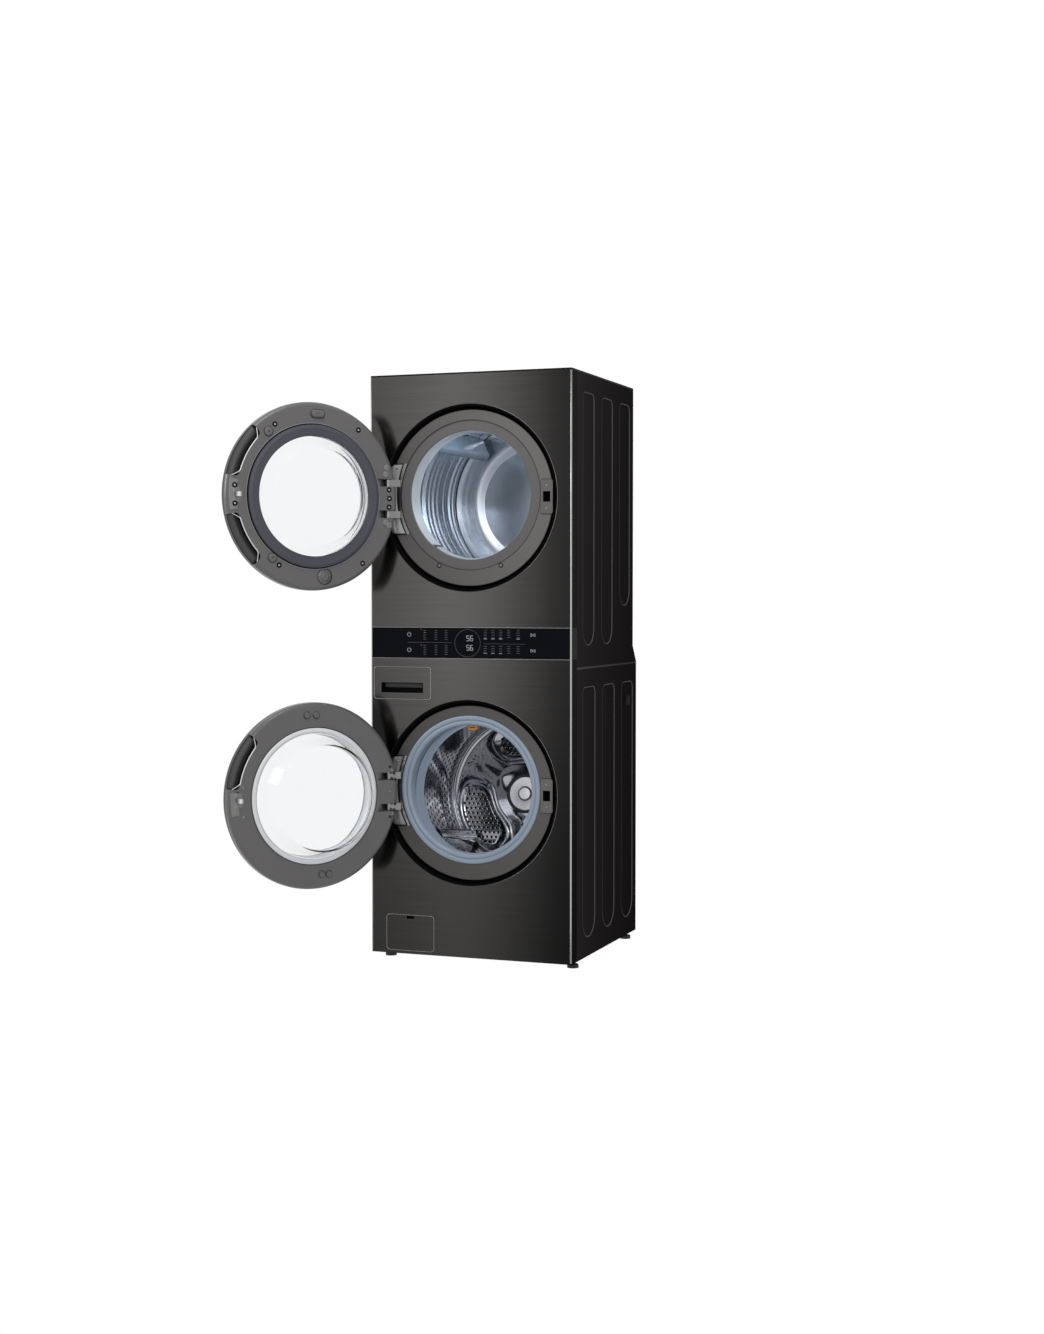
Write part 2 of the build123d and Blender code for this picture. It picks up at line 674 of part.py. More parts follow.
def top_cover():
    """The top: a shallow pan turned down on the panels' upper edges."""
    outline = Pos(0, FRONT + DRYER_DEPTH / 2) * Rectangle(WIDTH, DRYER_DEPTH)
    outline = fillet(outline.vertices().group_by(Axis.Y)[0], CORNER_R)
    cover = tower(outline, PANEL_TOP, HEIGHT)
    return cover - tower(offset(outline, -SHEET), PANEL_TOP - 1, HEIGHT - SHEET)


def mid_deck():
    """The deck between washer and dryer, with lugs below for the tub's springs."""
    d0, d1 = FLANGE + 2 * SHEET, WASHER_DEPTH - 2 * SHEET - REVEAL
    deck = block(-INNER, INNER, d0, d1, DECK_Z, DECK_Z + DECK_T)
    for side in (-1, 1):
        x0, x1 = sorted((side * INNER, side * (INNER - DECK_T)))
        deck += block(x0, x1, d0, DRYER_DEPTH - 2 * SHEET, DECK_Z, DECK_Z + DECK_RIM)
        deck += post(side * SPRING_X, SPRING_D, BOSS_R, SPRING_TOP_Z, DECK_Z + DECK_T / 2)
    return deck


def door_surround(ring_z, mouth_z, mouth_r):
    """The moulded ring round a door: lip, deep groove and flat face, with the latch's hole."""
    inner = DOOR_R / 2
    corners = [
        (RIM_R, -LIP_T),
        (RIM_R, 0),
        (RING_BODY_R, 0),
        (RING_BODY_R, GROOVE_DEPTH),
        (FACE_R - RING_WALL, GROOVE_DEPTH),
        (FACE_R - RING_WALL, FACE_BACK),
        (inner, FACE_BACK),
        (inner, FACE_DEPTH),
        (FACE_R, FACE_DEPTH),
        (FACE_R, GROOVE_DEPTH - RING_WALL),
        (RING_BODY_R - RING_WALL, GROOVE_DEPTH - RING_WALL),
        (RING_BODY_R - RING_WALL, -LIP_T),
    ]
    radii = [LIP_T / 2, 0, 0, 0, 0, 0, 0, 0, RING_WALL * 1.6, 0, 0, LIP_T / 2]
    ring = turned(facing_back(ring_z), corners, radii)
    ring -= rod(0, mouth_z, mouth_r, 0, GROOVE_DEPTH)
    half_w, half_tall = latch_body_half()
    return ring - block(LATCH_R - half_w - REVEAL, LATCH_R + half_w + REVEAL, 0, GROOVE_DEPTH * 0.9,
                        ring_z - half_tall - REVEAL, ring_z + half_tall + REVEAL)


def latch_body_half():
    """Half the width and half the height of a latch's body behind the ring."""
    return LATCH_SLOT_W / 2 + LATCH_WALL, LATCH_SLOT_TALL / 2 + LATCH_WALL


def door_latch(ring_z):
    """A latch: face plate with a slot, and the lock body behind it."""
    plate = Pos(LATCH_R, ring_z) * RectangleRounded(LATCH_PLATE_W, LATCH_PLATE_TALL, LATCH_PLATE_W / 6)
    latch = slab(plate, FACE_DEPTH - HINGE_PLATE_T, FACE_DEPTH)
    half_w, half_tall = latch_body_half()
    d0, d1 = FACE_DEPTH - HINGE_PLATE_T / 2, FACE_DEPTH + LATCH_DEPTH
    latch += block(LATCH_R - half_w, LATCH_R + half_w, d0, d1, ring_z - half_tall, ring_z + half_tall)
    half_w, half_tall = LATCH_SLOT_W / 2, LATCH_SLOT_TALL / 2
    slot = block(LATCH_R - half_w, LATCH_R + half_w, 0, d1 - LATCH_WALL, ring_z - half_tall, ring_z + half_tall)
    return latch - slot


def hinge_plate(ring_z, mouth_z, mouth_r):
    """A fixed hinge: a plate curved round the mouth and two arms with eyes."""
    left = HINGE_X + HINGE_INSET - LIP_REACH
    plate = RectangleRounded(HINGE_PLATE_W, HINGE_PLATE_TALL, HINGE_PLATE_T)
    plate = Pos(left + HINGE_PLATE_W / 2, ring_z) * plate
    plate -= Pos(0, mouth_z) * Circle(mouth_r + RING_WALL)
    hinge = slab(plate, FACE_DEPTH - HINGE_PLATE_T, FACE_DEPTH)
    eye = Pos(HINGE_X, FRONT + HINGE_D) * Circle(EYE_R)
    root_d = FACE_DEPTH - HINGE_PLATE_T / 2
    root = Pos(left + ARM_ROOT / 2, FRONT + root_d - ARM_FORWARD / 2) * Rectangle(ARM_ROOT, ARM_FORWARD)
    arm = make_hull(eye.edges() + root.edges())
    arm -= Pos(HINGE_X, FRONT + HINGE_D) * Circle(PIN_R + PIN_FIT)
    for z in arm_heights(ring_z):
        hinge += tower(arm, z - ARM_TALL / 2, z + ARM_TALL / 2)
    return hinge


def arm_heights(ring_z):
    """The middle heights of a hinge's two arms."""
    return ring_z - ARM_PITCH / 2, ring_z + ARM_PITCH / 2


def arm_slots(ring_z):
    """The two slots that let a door swing past its fixed arms."""
    half = ARM_TALL / 2 + ARM_GAP
    x1 = HINGE_X + HINGE_INSET * 2
    depths = (HINGE_D - EYE_R - ARM_GAP, 1)
    return [block(-DOOR_R - LIP_REACH, x1, *depths, z - half, z + half) for z in arm_heights(ring_z)]


def door_outer_frame(ring_z):
    """The front half of a door's rim, with a seat for the window."""
    seat_d = DOOR_FRONT + WINDOW_T
    corners = [
        (WINDOW_R, DOOR_FRONT),
        (DOOR_R, DOOR_FRONT),
        (DOOR_R, SPLIT_D),
        (DOOR_R - DOOR_SKIN, SPLIT_D),
        (DOOR_R - DOOR_SKIN, DOOR_FRONT + DOOR_SKIN),
        (WINDOW_R + DOOR_SKIN, DOOR_FRONT + DOOR_SKIN),
        (WINDOW_R + DOOR_SKIN, seat_d + DOOR_SKIN),
        (WINDOW_R - LEDGE, seat_d + DOOR_SKIN),
        (WINDOW_R - LEDGE, seat_d),
        (WINDOW_R, seat_d),
    ]
    radii = [0, DOOR_EDGE_R, 0, 0, DOOR_EDGE_R - DOOR_SKIN, 0, 0, 0, 0, 0]
    frame = turned(facing_back(ring_z), corners, radii)
    for cut in arm_slots(ring_z):
        frame -= cut
    return frame


def pull_outline(start, stop):
    """A finger cut-out: a ring sector that runs out through the rim, with rounded inner corners."""
    shape = sector(PULL_R, DOOR_R + LIP_REACH, start, stop)
    inner = sorted(shape.vertices(), key=lambda v: v.X ** 2 + v.Y ** 2)[:2]
    return fillet(inner, PULL_CORNER_R)


def door_inner_frame(ring_z, glass_r, pulls):
    """The back half of a door's rim, with a seat for the glass and cut-outs for the fingers."""
    seat_d = DOOR_BACK - GLASS_T
    corners = [
        (DOOR_R, SPLIT_D),
        (DOOR_R, DOOR_BACK),
        (glass_r, DOOR_BACK),
        (glass_r, seat_d),
        (glass_r - LEDGE, seat_d),
        (glass_r - LEDGE, seat_d - DOOR_SKIN),
        (glass_r + DOOR_SKIN, seat_d - DOOR_SKIN),
        (glass_r + DOOR_SKIN, DOOR_BACK - DOOR_SKIN),
        (DOOR_R - DOOR_SKIN, DOOR_BACK - DOOR_SKIN),
        (DOOR_R - DOOR_SKIN, SPLIT_D),
    ]
    radii = [0, DOOR_EDGE_R, 0, 0, 0, 0, 0, 0, DOOR_EDGE_R - DOOR_SKIN, 0]
    frame = turned(facing_back(ring_z), corners, radii)
    for start, stop in pulls:
        frame -= slab(Pos(0, ring_z) * pull_outline(start, stop), SPLIT_D - 1, 1)
    for cut in arm_slots(ring_z):
        frame -= cut
    return frame


def crown_arc(edge, level):
    """The arc of a crowned disc, from the axis to its edge, bulging to the front."""
    radius = (edge ** 2 + WINDOW_CROWN ** 2) / (2 * WINDOW_CROWN)
    return CenterArc((0, level - WINDOW_CROWN + radius), radius, -90, math.degrees(math.asin(edge / radius)))


def door_window(ring_z):
    """The crowned window in a door's front."""
    edge = WINDOW_R - GLASS_GAP
    inner = WINDOW_R - LEDGE - WINDOW_SEAT
    back = DOOR_FRONT + WINDOW_T
    outline = crown_arc(edge, DOOR_FRONT)
    outline += Line((edge, DOOR_FRONT), (edge, back))
    outline += Line((edge, back), (inner, back))
    outline += crown_arc(inner, back)
    outline += Line((0, back - WINDOW_CROWN), (0, DOOR_FRONT - WINDOW_CROWN))
    return facing_back(ring_z).location * revolve(Plane.XZ * make_face(outline), Axis.Z)


def door_glass(ring_z, bowl):
    """The glass bowl that reaches into the drum's mouth when a door is shut."""
    glass_r, shoulder_r, bowl_r, bowl_d = bowl
    edge = glass_r - GLASS_GAP
    back = DOOR_BACK - GLASS_T
    lean = GLASS_T * 1.1
    corners = [
        (edge, back),
        (edge, DOOR_BACK),
        (shoulder_r, DOOR_BACK),
        (bowl_r, bowl_d),
        (0, bowl_d + BOWL_CROWN),
        (0, bowl_d + BOWL_CROWN - GLASS_T),
        (bowl_r - lean, bowl_d - GLASS_T),
        (shoulder_r - lean, back),
    ]
    radii = [0, 0, GLASS_T, BOWL_EDGE_R, 0, 0, BOWL_EDGE_R - GLASS_T, 0]
    return turned(facing_back(ring_z), corners, radii)


def dryer_door_seal():
    """The soft ring on the dryer door that closes on the bulkhead."""
    stop = FACE_BACK + REVEAL / 2 - RUN_GAP
    outer = DRYER_GLASS_R - GLASS_GAP
    corners = [
        (DRYER_SEAL_R, DOOR_BACK),
        (outer, DOOR_BACK),
        (outer, stop - DOOR_SKIN),
        (outer - LEDGE, stop),
        (DRYER_SEAL_R, stop - DOOR_SKIN),
    ]
    return turned(facing_back(DRYER_RING_Z), corners, [0, 0, DOOR_SKIN, DOOR_SKIN * 2, DOOR_SKIN])


def door_fittings(ring_z):
    """A door's steel fittings: the hinge bracket with its pin, and the latch hook."""
    seat = DOOR_FRONT + DOOR_SKIN
    x0, x1 = HINGE_X + ARM_GAP * 4, HINGE_X + HINGE_INSET * 2
    reach = ARM_PITCH / 2 + ARM_TALL / 2 + EAR_GAP + EAR_T
    bracket = block(x0, x1, seat, seat + DOOR_SKIN, ring_z - reach, ring_z + reach)
    eye = Pos(HINGE_X, FRONT + HINGE_D) * Circle(EAR_R)
    root = Pos((x0 + x1) / 2, FRONT + seat + DOOR_SKIN / 2) * Rectangle(x1 - x0, DOOR_SKIN)
    ear = make_hull(eye.edges() + root.edges())
    for z in arm_heights(ring_z):
        for side in (-1, 1):
            near = z + side * (ARM_TALL / 2 + EAR_GAP)
            far = near + side * EAR_T
            bracket += tower(ear, min(near, far), max(near, far))
    bracket += post(HINGE_X, HINGE_D, PIN_R, ring_z - reach, ring_z + reach)
    half = LATCH_SLOT_W / 2
    hook = block(LATCH_R - half, LATCH_R + half, DOOR_BACK, DOOR_BACK + DOOR_SKIN / 2,
                 ring_z - HOOK_BASE_TALL / 2, ring_z + HOOK_BASE_TALL / 2)
    hook += block(LATCH_R - HOOK_W / 6, LATCH_R + HOOK_W / 2, DOOR_BACK, DOOR_BACK + HOOK_REACH,
                  ring_z - HOOK_TALL / 2, ring_z + HOOK_TALL / 2)
    hook += block(LATCH_R - HOOK_W / 2, LATCH_R, DOOR_BACK + HOOK_REACH * 0.75, DOOR_BACK + HOOK_REACH,
                  ring_z - HOOK_TALL / 2, ring_z + HOOK_TALL / 2)
    return [bracket, hook]


def swung(shapes):
    """Door pieces turned open about the hinge pin."""
    there = Pos(HINGE_X, FRONT + HINGE_D, 0)
    back = Pos(-HINGE_X, -FRONT - HINGE_D, 0)
    many = shapes if isinstance(shapes, list) else [shapes]
    return [there * Rot(0, 0, -OPEN_ANGLE) * back * shape for shape in many]


def door_gasket():
    """The washer's rubber boot: a front lip, a short sleeve, and a cone to the tilted tub."""
    outer = WASHER_MOUTH_R - REVEAL
    sleeve = GASKET_LIP_R + GASKET_WALL
    corners = [
        (outer, GASKET_FRONT),
        (outer, FACE_BACK + GASKET_WALL),
        (sleeve, FACE_BACK + 2 * GASKET_WALL),
        (sleeve, GASKET_SLEEVE),
        (GASKET_LIP_R, GASKET_SLEEVE),
        (GASKET_LIP_R, FACE_BACK + GASKET_WALL / 2),
        (outer - 3 * GASKET_WALL, GASKET_FRONT - RING_WALL / 2),
    ]
    frame = facing_back(WASHER_MOUTH_Z)
    boot = turned(frame, corners, [RING_WALL, 0, GASKET_WALL, 0, 0, 2 * GASKET_WALL, 2 * GASKET_WALL])
    near = frame.offset(GASKET_SLEEVE - GASKET_WALL / 2)
    cuff_r = TUB_MOUTH_R + RUN_GAP
    cuff_start, cuff_end = TUB_LIP - GASKET_WALL, TUB_LIP + GASKET_SEAT
    far = WASHER_DRUM_FRAME.offset(cuff_start)
    cone = loft([near * Circle(sleeve), far * Circle(cuff_r + GASKET_WALL)])
    boot += cone - loft([near * Circle(GASKET_LIP_R), far * Circle(cuff_r)])
    return boot + tube(WASHER_DRUM_FRAME, cuff_r, cuff_r + GASKET_WALL, cuff_start, cuff_end)


def tub_core(radius):
    """A solid bar on the tub's axis, used to trim what is fastened to the tub."""
    return tube(WASHER_DRUM_FRAME, 0, radius, 0, TUB_BACK + MOTOR_ROOM)


def tub_front():
    """The front half of the tub, with the collar that carries the boot."""
    inner = TUB_R - TUB_WALL
    collar = TUB_MOUTH_R - TUB_WALL
    corners = [
        (collar, TUB_LIP),
        (TUB_MOUTH_R, TUB_LIP),
        (TUB_MOUTH_R, TUB_FACE),
        (TUB_R, TUB_FACE),
        (TUB_R, TUB_SPLIT - TUB_FLANGE / 2),
        (TUB_R + TUB_FLANGE, TUB_SPLIT - TUB_FLANGE / 2),
        (TUB_R + TUB_FLANGE, TUB_SPLIT),
        (inner, TUB_SPLIT),
        (inner, TUB_FACE + TUB_WALL),
        (collar, TUB_FACE + TUB_WALL),
    ]
    return turned(WASHER_DRUM_FRAME, corners)


def tub_rear():
    """The back half of the tub: shell, back wall, bearing housing and the bosses that carry it."""
    inner = TUB_R - TUB_WALL
    corners = [
        (inner, TUB_SPLIT),
        (TUB_R + TUB_FLANGE, TUB_SPLIT),
        (TUB_R + TUB_FLANGE, TUB_SPLIT + TUB_FLANGE / 2),
        (TUB_R, TUB_SPLIT + TUB_FLANGE / 2),
        (TUB_R, TUB_BACK + TUB_WALL),
        (BEARING_R, TUB_BACK + TUB_WALL),
        (BEARING_R, TUB_BACK + BEARING_T),
        (SHAFT_R + SHAFT_FIT, TUB_BACK + BEARING_T),
        (SHAFT_R + SHAFT_FIT, TUB_BACK),
        (inner, TUB_BACK),
    ]
    tub = turned(WASHER_DRUM_FRAME, corners)
    core = tub_core(TUB_R - TUB_WALL / 2)
    for side in (-1, 1):
        tub += post(side * SPRING_X, SPRING_D, BOSS_R, WASHER_RING_Z, SPRING_FOOT_Z) - core
        top, foot = damper_ends(side)
        inside = top + (top - foot).normalized() * PAN_WALL * 3
        tub += bar_between(inside, top, BOSS_R) - core
    return tub


def tub_suspension():
    """Two hanging springs, as tubes of their outer size, and two friction dampers."""
    pieces = []
    for side in (-1, 1):
        spring = post(side * SPRING_X, SPRING_D, SPRING_R, SPRING_FOOT_Z, SPRING_TOP_Z)
        middle = (SPRING_FOOT_Z + SPRING_TOP_Z) / 2
        reach = (SPRING_TOP_Z - SPRING_FOOT_Z) / 2 - DOOR_SKIN
        pieces.append(spring - post(side * SPRING_X, SPRING_D, SPRING_BORE_R, middle - reach, middle + reach))
        top, foot = damper_ends(side)
        joint = top + (foot - top) * ROD_SHARE
        stem = bar_between(top, joint + (foot - top).normalized(), ROD_R)
        pieces.append(stem + bar_between(joint, foot, DAMPER_R))
    return pieces


def counterweights():
    """Two cast blocks bolted to the tub's face, above and below the mouth."""
    weights = []
    for middle in WEIGHT_TURNS:
        shape = sector(WEIGHT_R, TUB_R - TUB_WALL, middle - WEIGHT_ARC / 2, middle + WEIGHT_ARC / 2)
        weights.append(extrude(WASHER_DRUM_FRAME.offset(TUB_FACE - WEIGHT_T) * shape, amount=WEIGHT_T))
    return weights


def washer_drum():
    """The stainless drum: rolled mouth, wall and back with a raised hub."""
    wall_r = DRUM_R - DRUM_WALL
    hub = STUB_R + RUN_GAP
    raised = DRUM_BACK - HUB_RISE
    corners = [
        (DRUM_MOUTH_R, DRUM_FRONT + HUB_RISE),
        (DRUM_MOUTH_R, DRUM_FRONT),
        (DRUM_R, DRUM_FRONT),
        (DRUM_R, DRUM_BACK),
        (2 * HUB_R, DRUM_BACK),
        (HUB_R * 1.1, raised),
        (hub, raised),
        (hub, raised - DRUM_WALL),
        (HUB_R * 1.1, raised - DRUM_WALL),
        (2 * HUB_R, DRUM_BACK - DRUM_WALL),
        (wall_r, DRUM_BACK - DRUM_WALL),
        (wall_r, DRUM_FRONT + DRUM_WALL),
        (DRUM_MOUTH_R + DRUM_WALL, DRUM_FRONT + DRUM_WALL),
        (DRUM_MOUTH_R + DRUM_WALL, DRUM_FRONT + HUB_RISE),
    ]
    roll = HUB_RISE
    inside = roll - DRUM_WALL
    radii = [0, roll / 2, roll, roll, 0, 0, 0, 0, 0, 0, inside, inside, roll / 2 - DRUM_WALL, 0]
    return turned(WASHER_DRUM_FRAME, corners, radii)


def ridge(frame, wall_r, base, top, tall, start, stop, angle):
    """A ridge along a drum's inside wall, tapered towards the axis and rounded."""
    foot = math.sqrt(wall_r ** 2 - (base / 2) ** 2) - RUN_GAP
    tip = wall_r - tall
    upper = [(wall_r, base / 2), (foot, base / 2), (tip, top / 2)]
    corners = upper + [(r, -side) for r, side in reversed(upper)]
    shape = make_face(FilletPolyline(*corners, radius=[0, 0, top / 2.2, top / 2.2, 0, 0], close=True))
    shape &= Circle(wall_r - RUN_GAP)
    return extrude(frame.offset(start) * Rot(0, 0, angle) * shape, amount=stop - start)


def drum_lifters():
    """The washer drum's lifters."""
    start, stop = DRUM_FRONT + LIFTER_END_GAP, DRUM_BACK - LIFTER_END_GAP
    turns = [LIFTER_TURN + 360 / LIFTERS * i for i in range(LIFTERS)]
    wall_r = DRUM_R - DRUM_WALL
    sizes = (LIFTER_BASE, LIFTER_TOP, LIFTER_TALL)
    return [ridge(WASHER_DRUM_FRAME, wall_r, *sizes, start, stop, a) for a in turns]


def drum_spider():
    """The cast spider behind the drum, its shaft, and the hub disc seen inside the drum."""
    face = DRUM_BACK - HUB_RISE - DRUM_WALL
    arm_start = DRUM_BACK + RUN_GAP
    corners = [
        (0, face - HUB_RISE),
        (HUB_CAP_R, face - HUB_RISE),
        (HUB_CAP_R, face - HUB_RISE / 2),
        (HUB_R, face - HUB_RISE / 2),
        (HUB_R, face),
        (STUB_R, face),
        (STUB_R, arm_start),
        (SPIDER_R, arm_start),
        (SPIDER_R, DRUM_BACK + SPIDER_T),
        (SHAFT_R, DRUM_BACK + SPIDER_T),
        (SHAFT_R, rotor_end() + ROTOR_WALL),
        (0, rotor_end() + ROTOR_WALL),
    ]
    spider = turned(WASHER_DRUM_FRAME, corners)
    for i in range(3):
        arm = Pos(DRUM_R / 2, 0) * Rectangle(DRUM_R - 2 * TUB_FLANGE, SPIDER_ARM_W)
        arm = Rot(0, 0, LIFTER_TURN + 60 + 120 * i) * arm
        spider += extrude(WASHER_DRUM_FRAME.offset(arm_start) * arm, amount=SPIDER_ARM_T)
    return spider


def rotor_end():
    """How far back the rotor's disc ends, along the drum's axis."""
    return TUB_BACK + BEARING_T + AIR_GAP + ROTOR_DISC


def motor_stator():
    """The direct-drive stator: an iron ring with wound poles, on the tub's back."""
    start = TUB_BACK + TUB_WALL
    root = STATOR_R - POLE_LENGTH
    ring = tube(WASHER_DRUM_FRAME, BEARING_R + AIR_GAP, root, start, start + STATOR_T)
    width = math.pi * root / STATOR_POLES
    pole = Pos(root + POLE_LENGTH / 2 - AIR_GAP, 0) * Rectangle(POLE_LENGTH, width)
    poles = Sketch() + [Rot(0, 0, 360 / STATOR_POLES * i) * pole for i in range(STATOR_POLES)]
    return ring + extrude(WASHER_DRUM_FRAME.offset(start + AIR_GAP) * poles, amount=STATOR_T - 2 * AIR_GAP)


def motor_rotor():
    """The direct-drive rotor: a cup of magnets on the end of the drum's shaft."""
    inner = STATOR_R + AIR_GAP
    end = rotor_end()
    start = TUB_BACK + TUB_WALL + AIR_GAP
    corners = [
        (inner, start),
        (inner + ROTOR_WALL, start),
        (inner + ROTOR_WALL, end),
        (SHAFT_R + SHAFT_FIT, end),
        (SHAFT_R + SHAFT_FIT, end - ROTOR_DISC),
        (inner, end - ROTOR_DISC),
    ]
    return turned(WASHER_DRUM_FRAME, corners)


def drawer_tray():
    """The detergent drawer's tray: two compartments, open above."""
    x0, x1 = DRAWER_X0 + TRAY_INSET, DRAWER_X0 + DRAWER_W - TRAY_INSET
    z0 = DRAWER_Z0 + TRAY_INSET
    z1 = z0 + TRAY_TALL
    d0, d1 = DRAWER_FRONT_T, DRAWER_FRONT_T + DRAWER_LENGTH
    tray = block(x0, x1, d0, d1, z0, z1)
    split = x0 + (x1 - x0) * CUP_SPLIT
    for left, right in ((x0, split), (split, x1)):
        shift = TRAY_WALL if left == x0 else TRAY_WALL / 2
        ends = TRAY_WALL if right == x1 else TRAY_WALL / 2
        tray -= block(left + shift, right - ends, d0 + TRAY_WALL, d1 - TRAY_WALL, z0 + TRAY_WALL, z1 + 1)
    return tray


def drawer_front():
    """The drawer's front, with a finger slot that is undercut behind its upper edge."""
    outline = RectangleRounded(DRAWER_W, DRAWER_TALL, DRAWER_R)
    outline = Pos(DRAWER_X0 + DRAWER_W / 2, DRAWER_Z0 + DRAWER_TALL / 2) * outline
    front = slab(outline, 0, DRAWER_FRONT_T)
    x0 = DRAWER_X0 + GRIP_INSET
    z0 = DRAWER_Z0 + GRIP_FOOT
    front -= block(x0, x0 + GRIP_W, -1, GRIP_DEEP, z0, z0 + GRIP_TALL)
    return front - block(x0, x0 + GRIP_W, GRIP_SKIN, GRIP_DEEP, z0, z0 + GRIP_TALL + GRIP_UNDERCUT)


def dispenser_housing():
    """The fixed box that the drawer runs in, with a flange behind the front panel."""
    x0, x1 = DRAWER_X0 + TRAY_INSET - DRAWER_GAP, DRAWER_X0 + DRAWER_W - TRAY_INSET + DRAWER_GAP
    z0 = DRAWER_Z0 + TRAY_INSET - RUNNER_GAP
    z1 = z0 + TRAY_TALL + TRAY_INSET
    d0 = DRAWER_FRONT_T + RUN_GAP
    d1 = d0 + DRAWER_LENGTH + TRAY_INSET
    wall_t = HOUSING_WALL
    shell = block(x0 - wall_t, x1 + wall_t, d0, d1 + wall_t, z0 - wall_t, z1 + wall_t)
    rim = slab(offset(drawer_opening(), wall_t), SHEET, d0 + wall_t)
    shell = shell + rim - block(x0, x1, d0 - 1, d1, z0, z1)
    return shell - slab(drawer_opening(), 0, d0)


def filter_flap():
    """The small access door low on the front, with two pinned lugs at its foot."""
    flap = slab(flap_outline(0), 0, FLAP_T)
    top = FLAP_Z0 + FLAP_TALL - NOTCH_DROP
    flap -= block(FLAP_X - NOTCH_W / 2, FLAP_X + NOTCH_W / 2, -1, FLAP_T + 1, top - NOTCH_TALL, top)
    axis_z = FLAP_Z0 + FLAP_AXIS_RISE
    for side in (-1, 1):
        edge = FLAP_X + side * (FLAP_W / 2 - FLAP_R)
        x0, x1 = sorted((edge, edge - side * FLAP_LUG))
        flap += block(x0, x1, FLAP_T / 2, FLAP_AXIS_D + FLAP_PIN_R, axis_z - FLAP_PIN_R, axis_z + FLAP_LUG)
        reach = FLAP_X + side * (FLAP_W / 2 + FLAP_GAP + REVEAL + FLAP_TAB)
        middle = (edge + reach) / 2
        pin = Rot(0, 90, 0) * Cylinder(FLAP_PIN_R, abs(reach - edge))
        flap += Pos(middle, FRONT + FLAP_AXIS_D, axis_z) * pin
    return flap


def filter_plug():
    """The drain filter's plug: a knob with a grip bar, and the basket behind it."""
    d0 = PLUG_FRONT
    d1 = d0 + PLUG_HEAD_T
    plug = rod(FLAP_X, FLAP_Z, PLUG_HEAD_R, d0 + PLUG_HEAD_T / 2, d1)
    grip = PLUG_HEAD_T / 5
    bar_half = PLUG_HEAD_R * 0.9
    plug += block(FLAP_X - bar_half, FLAP_X + bar_half, d0, d1 - 1, FLAP_Z - grip, FLAP_Z + grip)
    basket = rod(FLAP_X, FLAP_Z, PLUG_R, d1 - 1, d1 + PLUG_BASKET)
    hollow = PLUG_R - PUMP_TUBE_WALL
    return plug + basket - rod(FLAP_X, FLAP_Z, hollow, d1 + PLUG_HEAD_T / 2, d1 + PLUG_BASKET + 1)


def drain_pump():
    """The drain pump: filter tube, volute, motor, pedestal and the pipe with its spigot at the back."""
    d0 = PLUG_FRONT + PLUG_HEAD_T + RUN_GAP
    tube_r = PLUG_R + PIN_FIT
    d1 = d0 + PUMP_TUBE
    pump = rod(FLAP_X, FLAP_Z, tube_r + PUMP_TUBE_WALL, d0, d1 + 1)
    pump += rod(FLAP_X, FLAP_Z, VOLUTE_R, d1, d1 + VOLUTE_T)
    pump += rod(FLAP_X, FLAP_Z, PUMP_MOTOR_R, d1 + VOLUTE_T - 1, d1 + VOLUTE_T + PUMP_MOTOR_T)
    foot = PUMP_MOTOR_R / 2
    pump += block(FLAP_X - foot, FLAP_X + foot, d1 + 4, d1 + VOLUTE_T - 4, FLOOR_GAP + PAN_FLOOR, FLAP_Z)
    spigot = WASHER_DEPTH - PORT_REACH
    pump += rod(DRAIN_X, DRAIN_Z, DRAIN_HOSE_R, d1 + VOLUTE_T / 2, spigot)
    pump += rod(DRAIN_X, DRAIN_Z, DRAIN_PIPE_R, spigot - 1, WASHER_DEPTH + PORT_REACH)
    pump -= rod(FLAP_X, FLAP_Z, tube_r, d0 - 1, d1)
    bore = DRAIN_PIPE_R - DRAIN_PIPE_WALL
    return pump - rod(DRAIN_X, DRAIN_Z, bore, d1 + VOLUTE_T, WASHER_DEPTH + PORT_REACH + 1)


def valve_ports():
    """The x places of the two water inlets."""
    return VALVE_X - VALVE_PITCH / 2, VALVE_X + VALVE_PITCH / 2


def inlet_valve():
    """The water inlet valve: two solenoid bodies on a bar, with threaded ports through the back."""
    d1 = WASHER_DEPTH - SHEET
    valve = block(VALVE_X - VALVE_PITCH, VALVE_X + VALVE_PITCH, d1 - VALVE_BODY_R, d1,
                  VALVE_Z - VALVE_BODY_R, VALVE_Z + VALVE_BODY_R)
    for x in valve_ports():
        valve += rod(x, VALVE_Z, VALVE_BODY_R, d1 - VALVE_BODY_T, d1)
        valve += rod(x, VALVE_Z, VALVE_PORT_R, d1 - 1, WASHER_DEPTH + PORT_REACH * 0.7)
    for x in valve_ports():
        valve -= rod(x, VALVE_Z, VALVE_BORE_R, d1 - VALVE_BODY_R / 2, WASHER_DEPTH + PORT_REACH)
    return valve


def bulkhead_plate(d0, d1):
    """The sheet of a dryer bulkhead, from side panel to side panel."""
    half = INNER - POCKET_PRESS
    return block(-half, half, d0, d1, BULKHEAD_FOOT_Z, PANEL_TOP - BULKHEAD_TOP_GAP)


def lint_slot(gap):
    """The space that the lint filter's screen takes in the sill, widened by a gap."""
    half = LINT_W / 2 + gap
    middle = LINT_D + LINT_DUCT_D / 2
    deep = LINT_T / 2 + gap
    return block(-half, half, middle - deep, middle + deep, LINT_FOOT_Z, DRYER_MOUTH_Z)


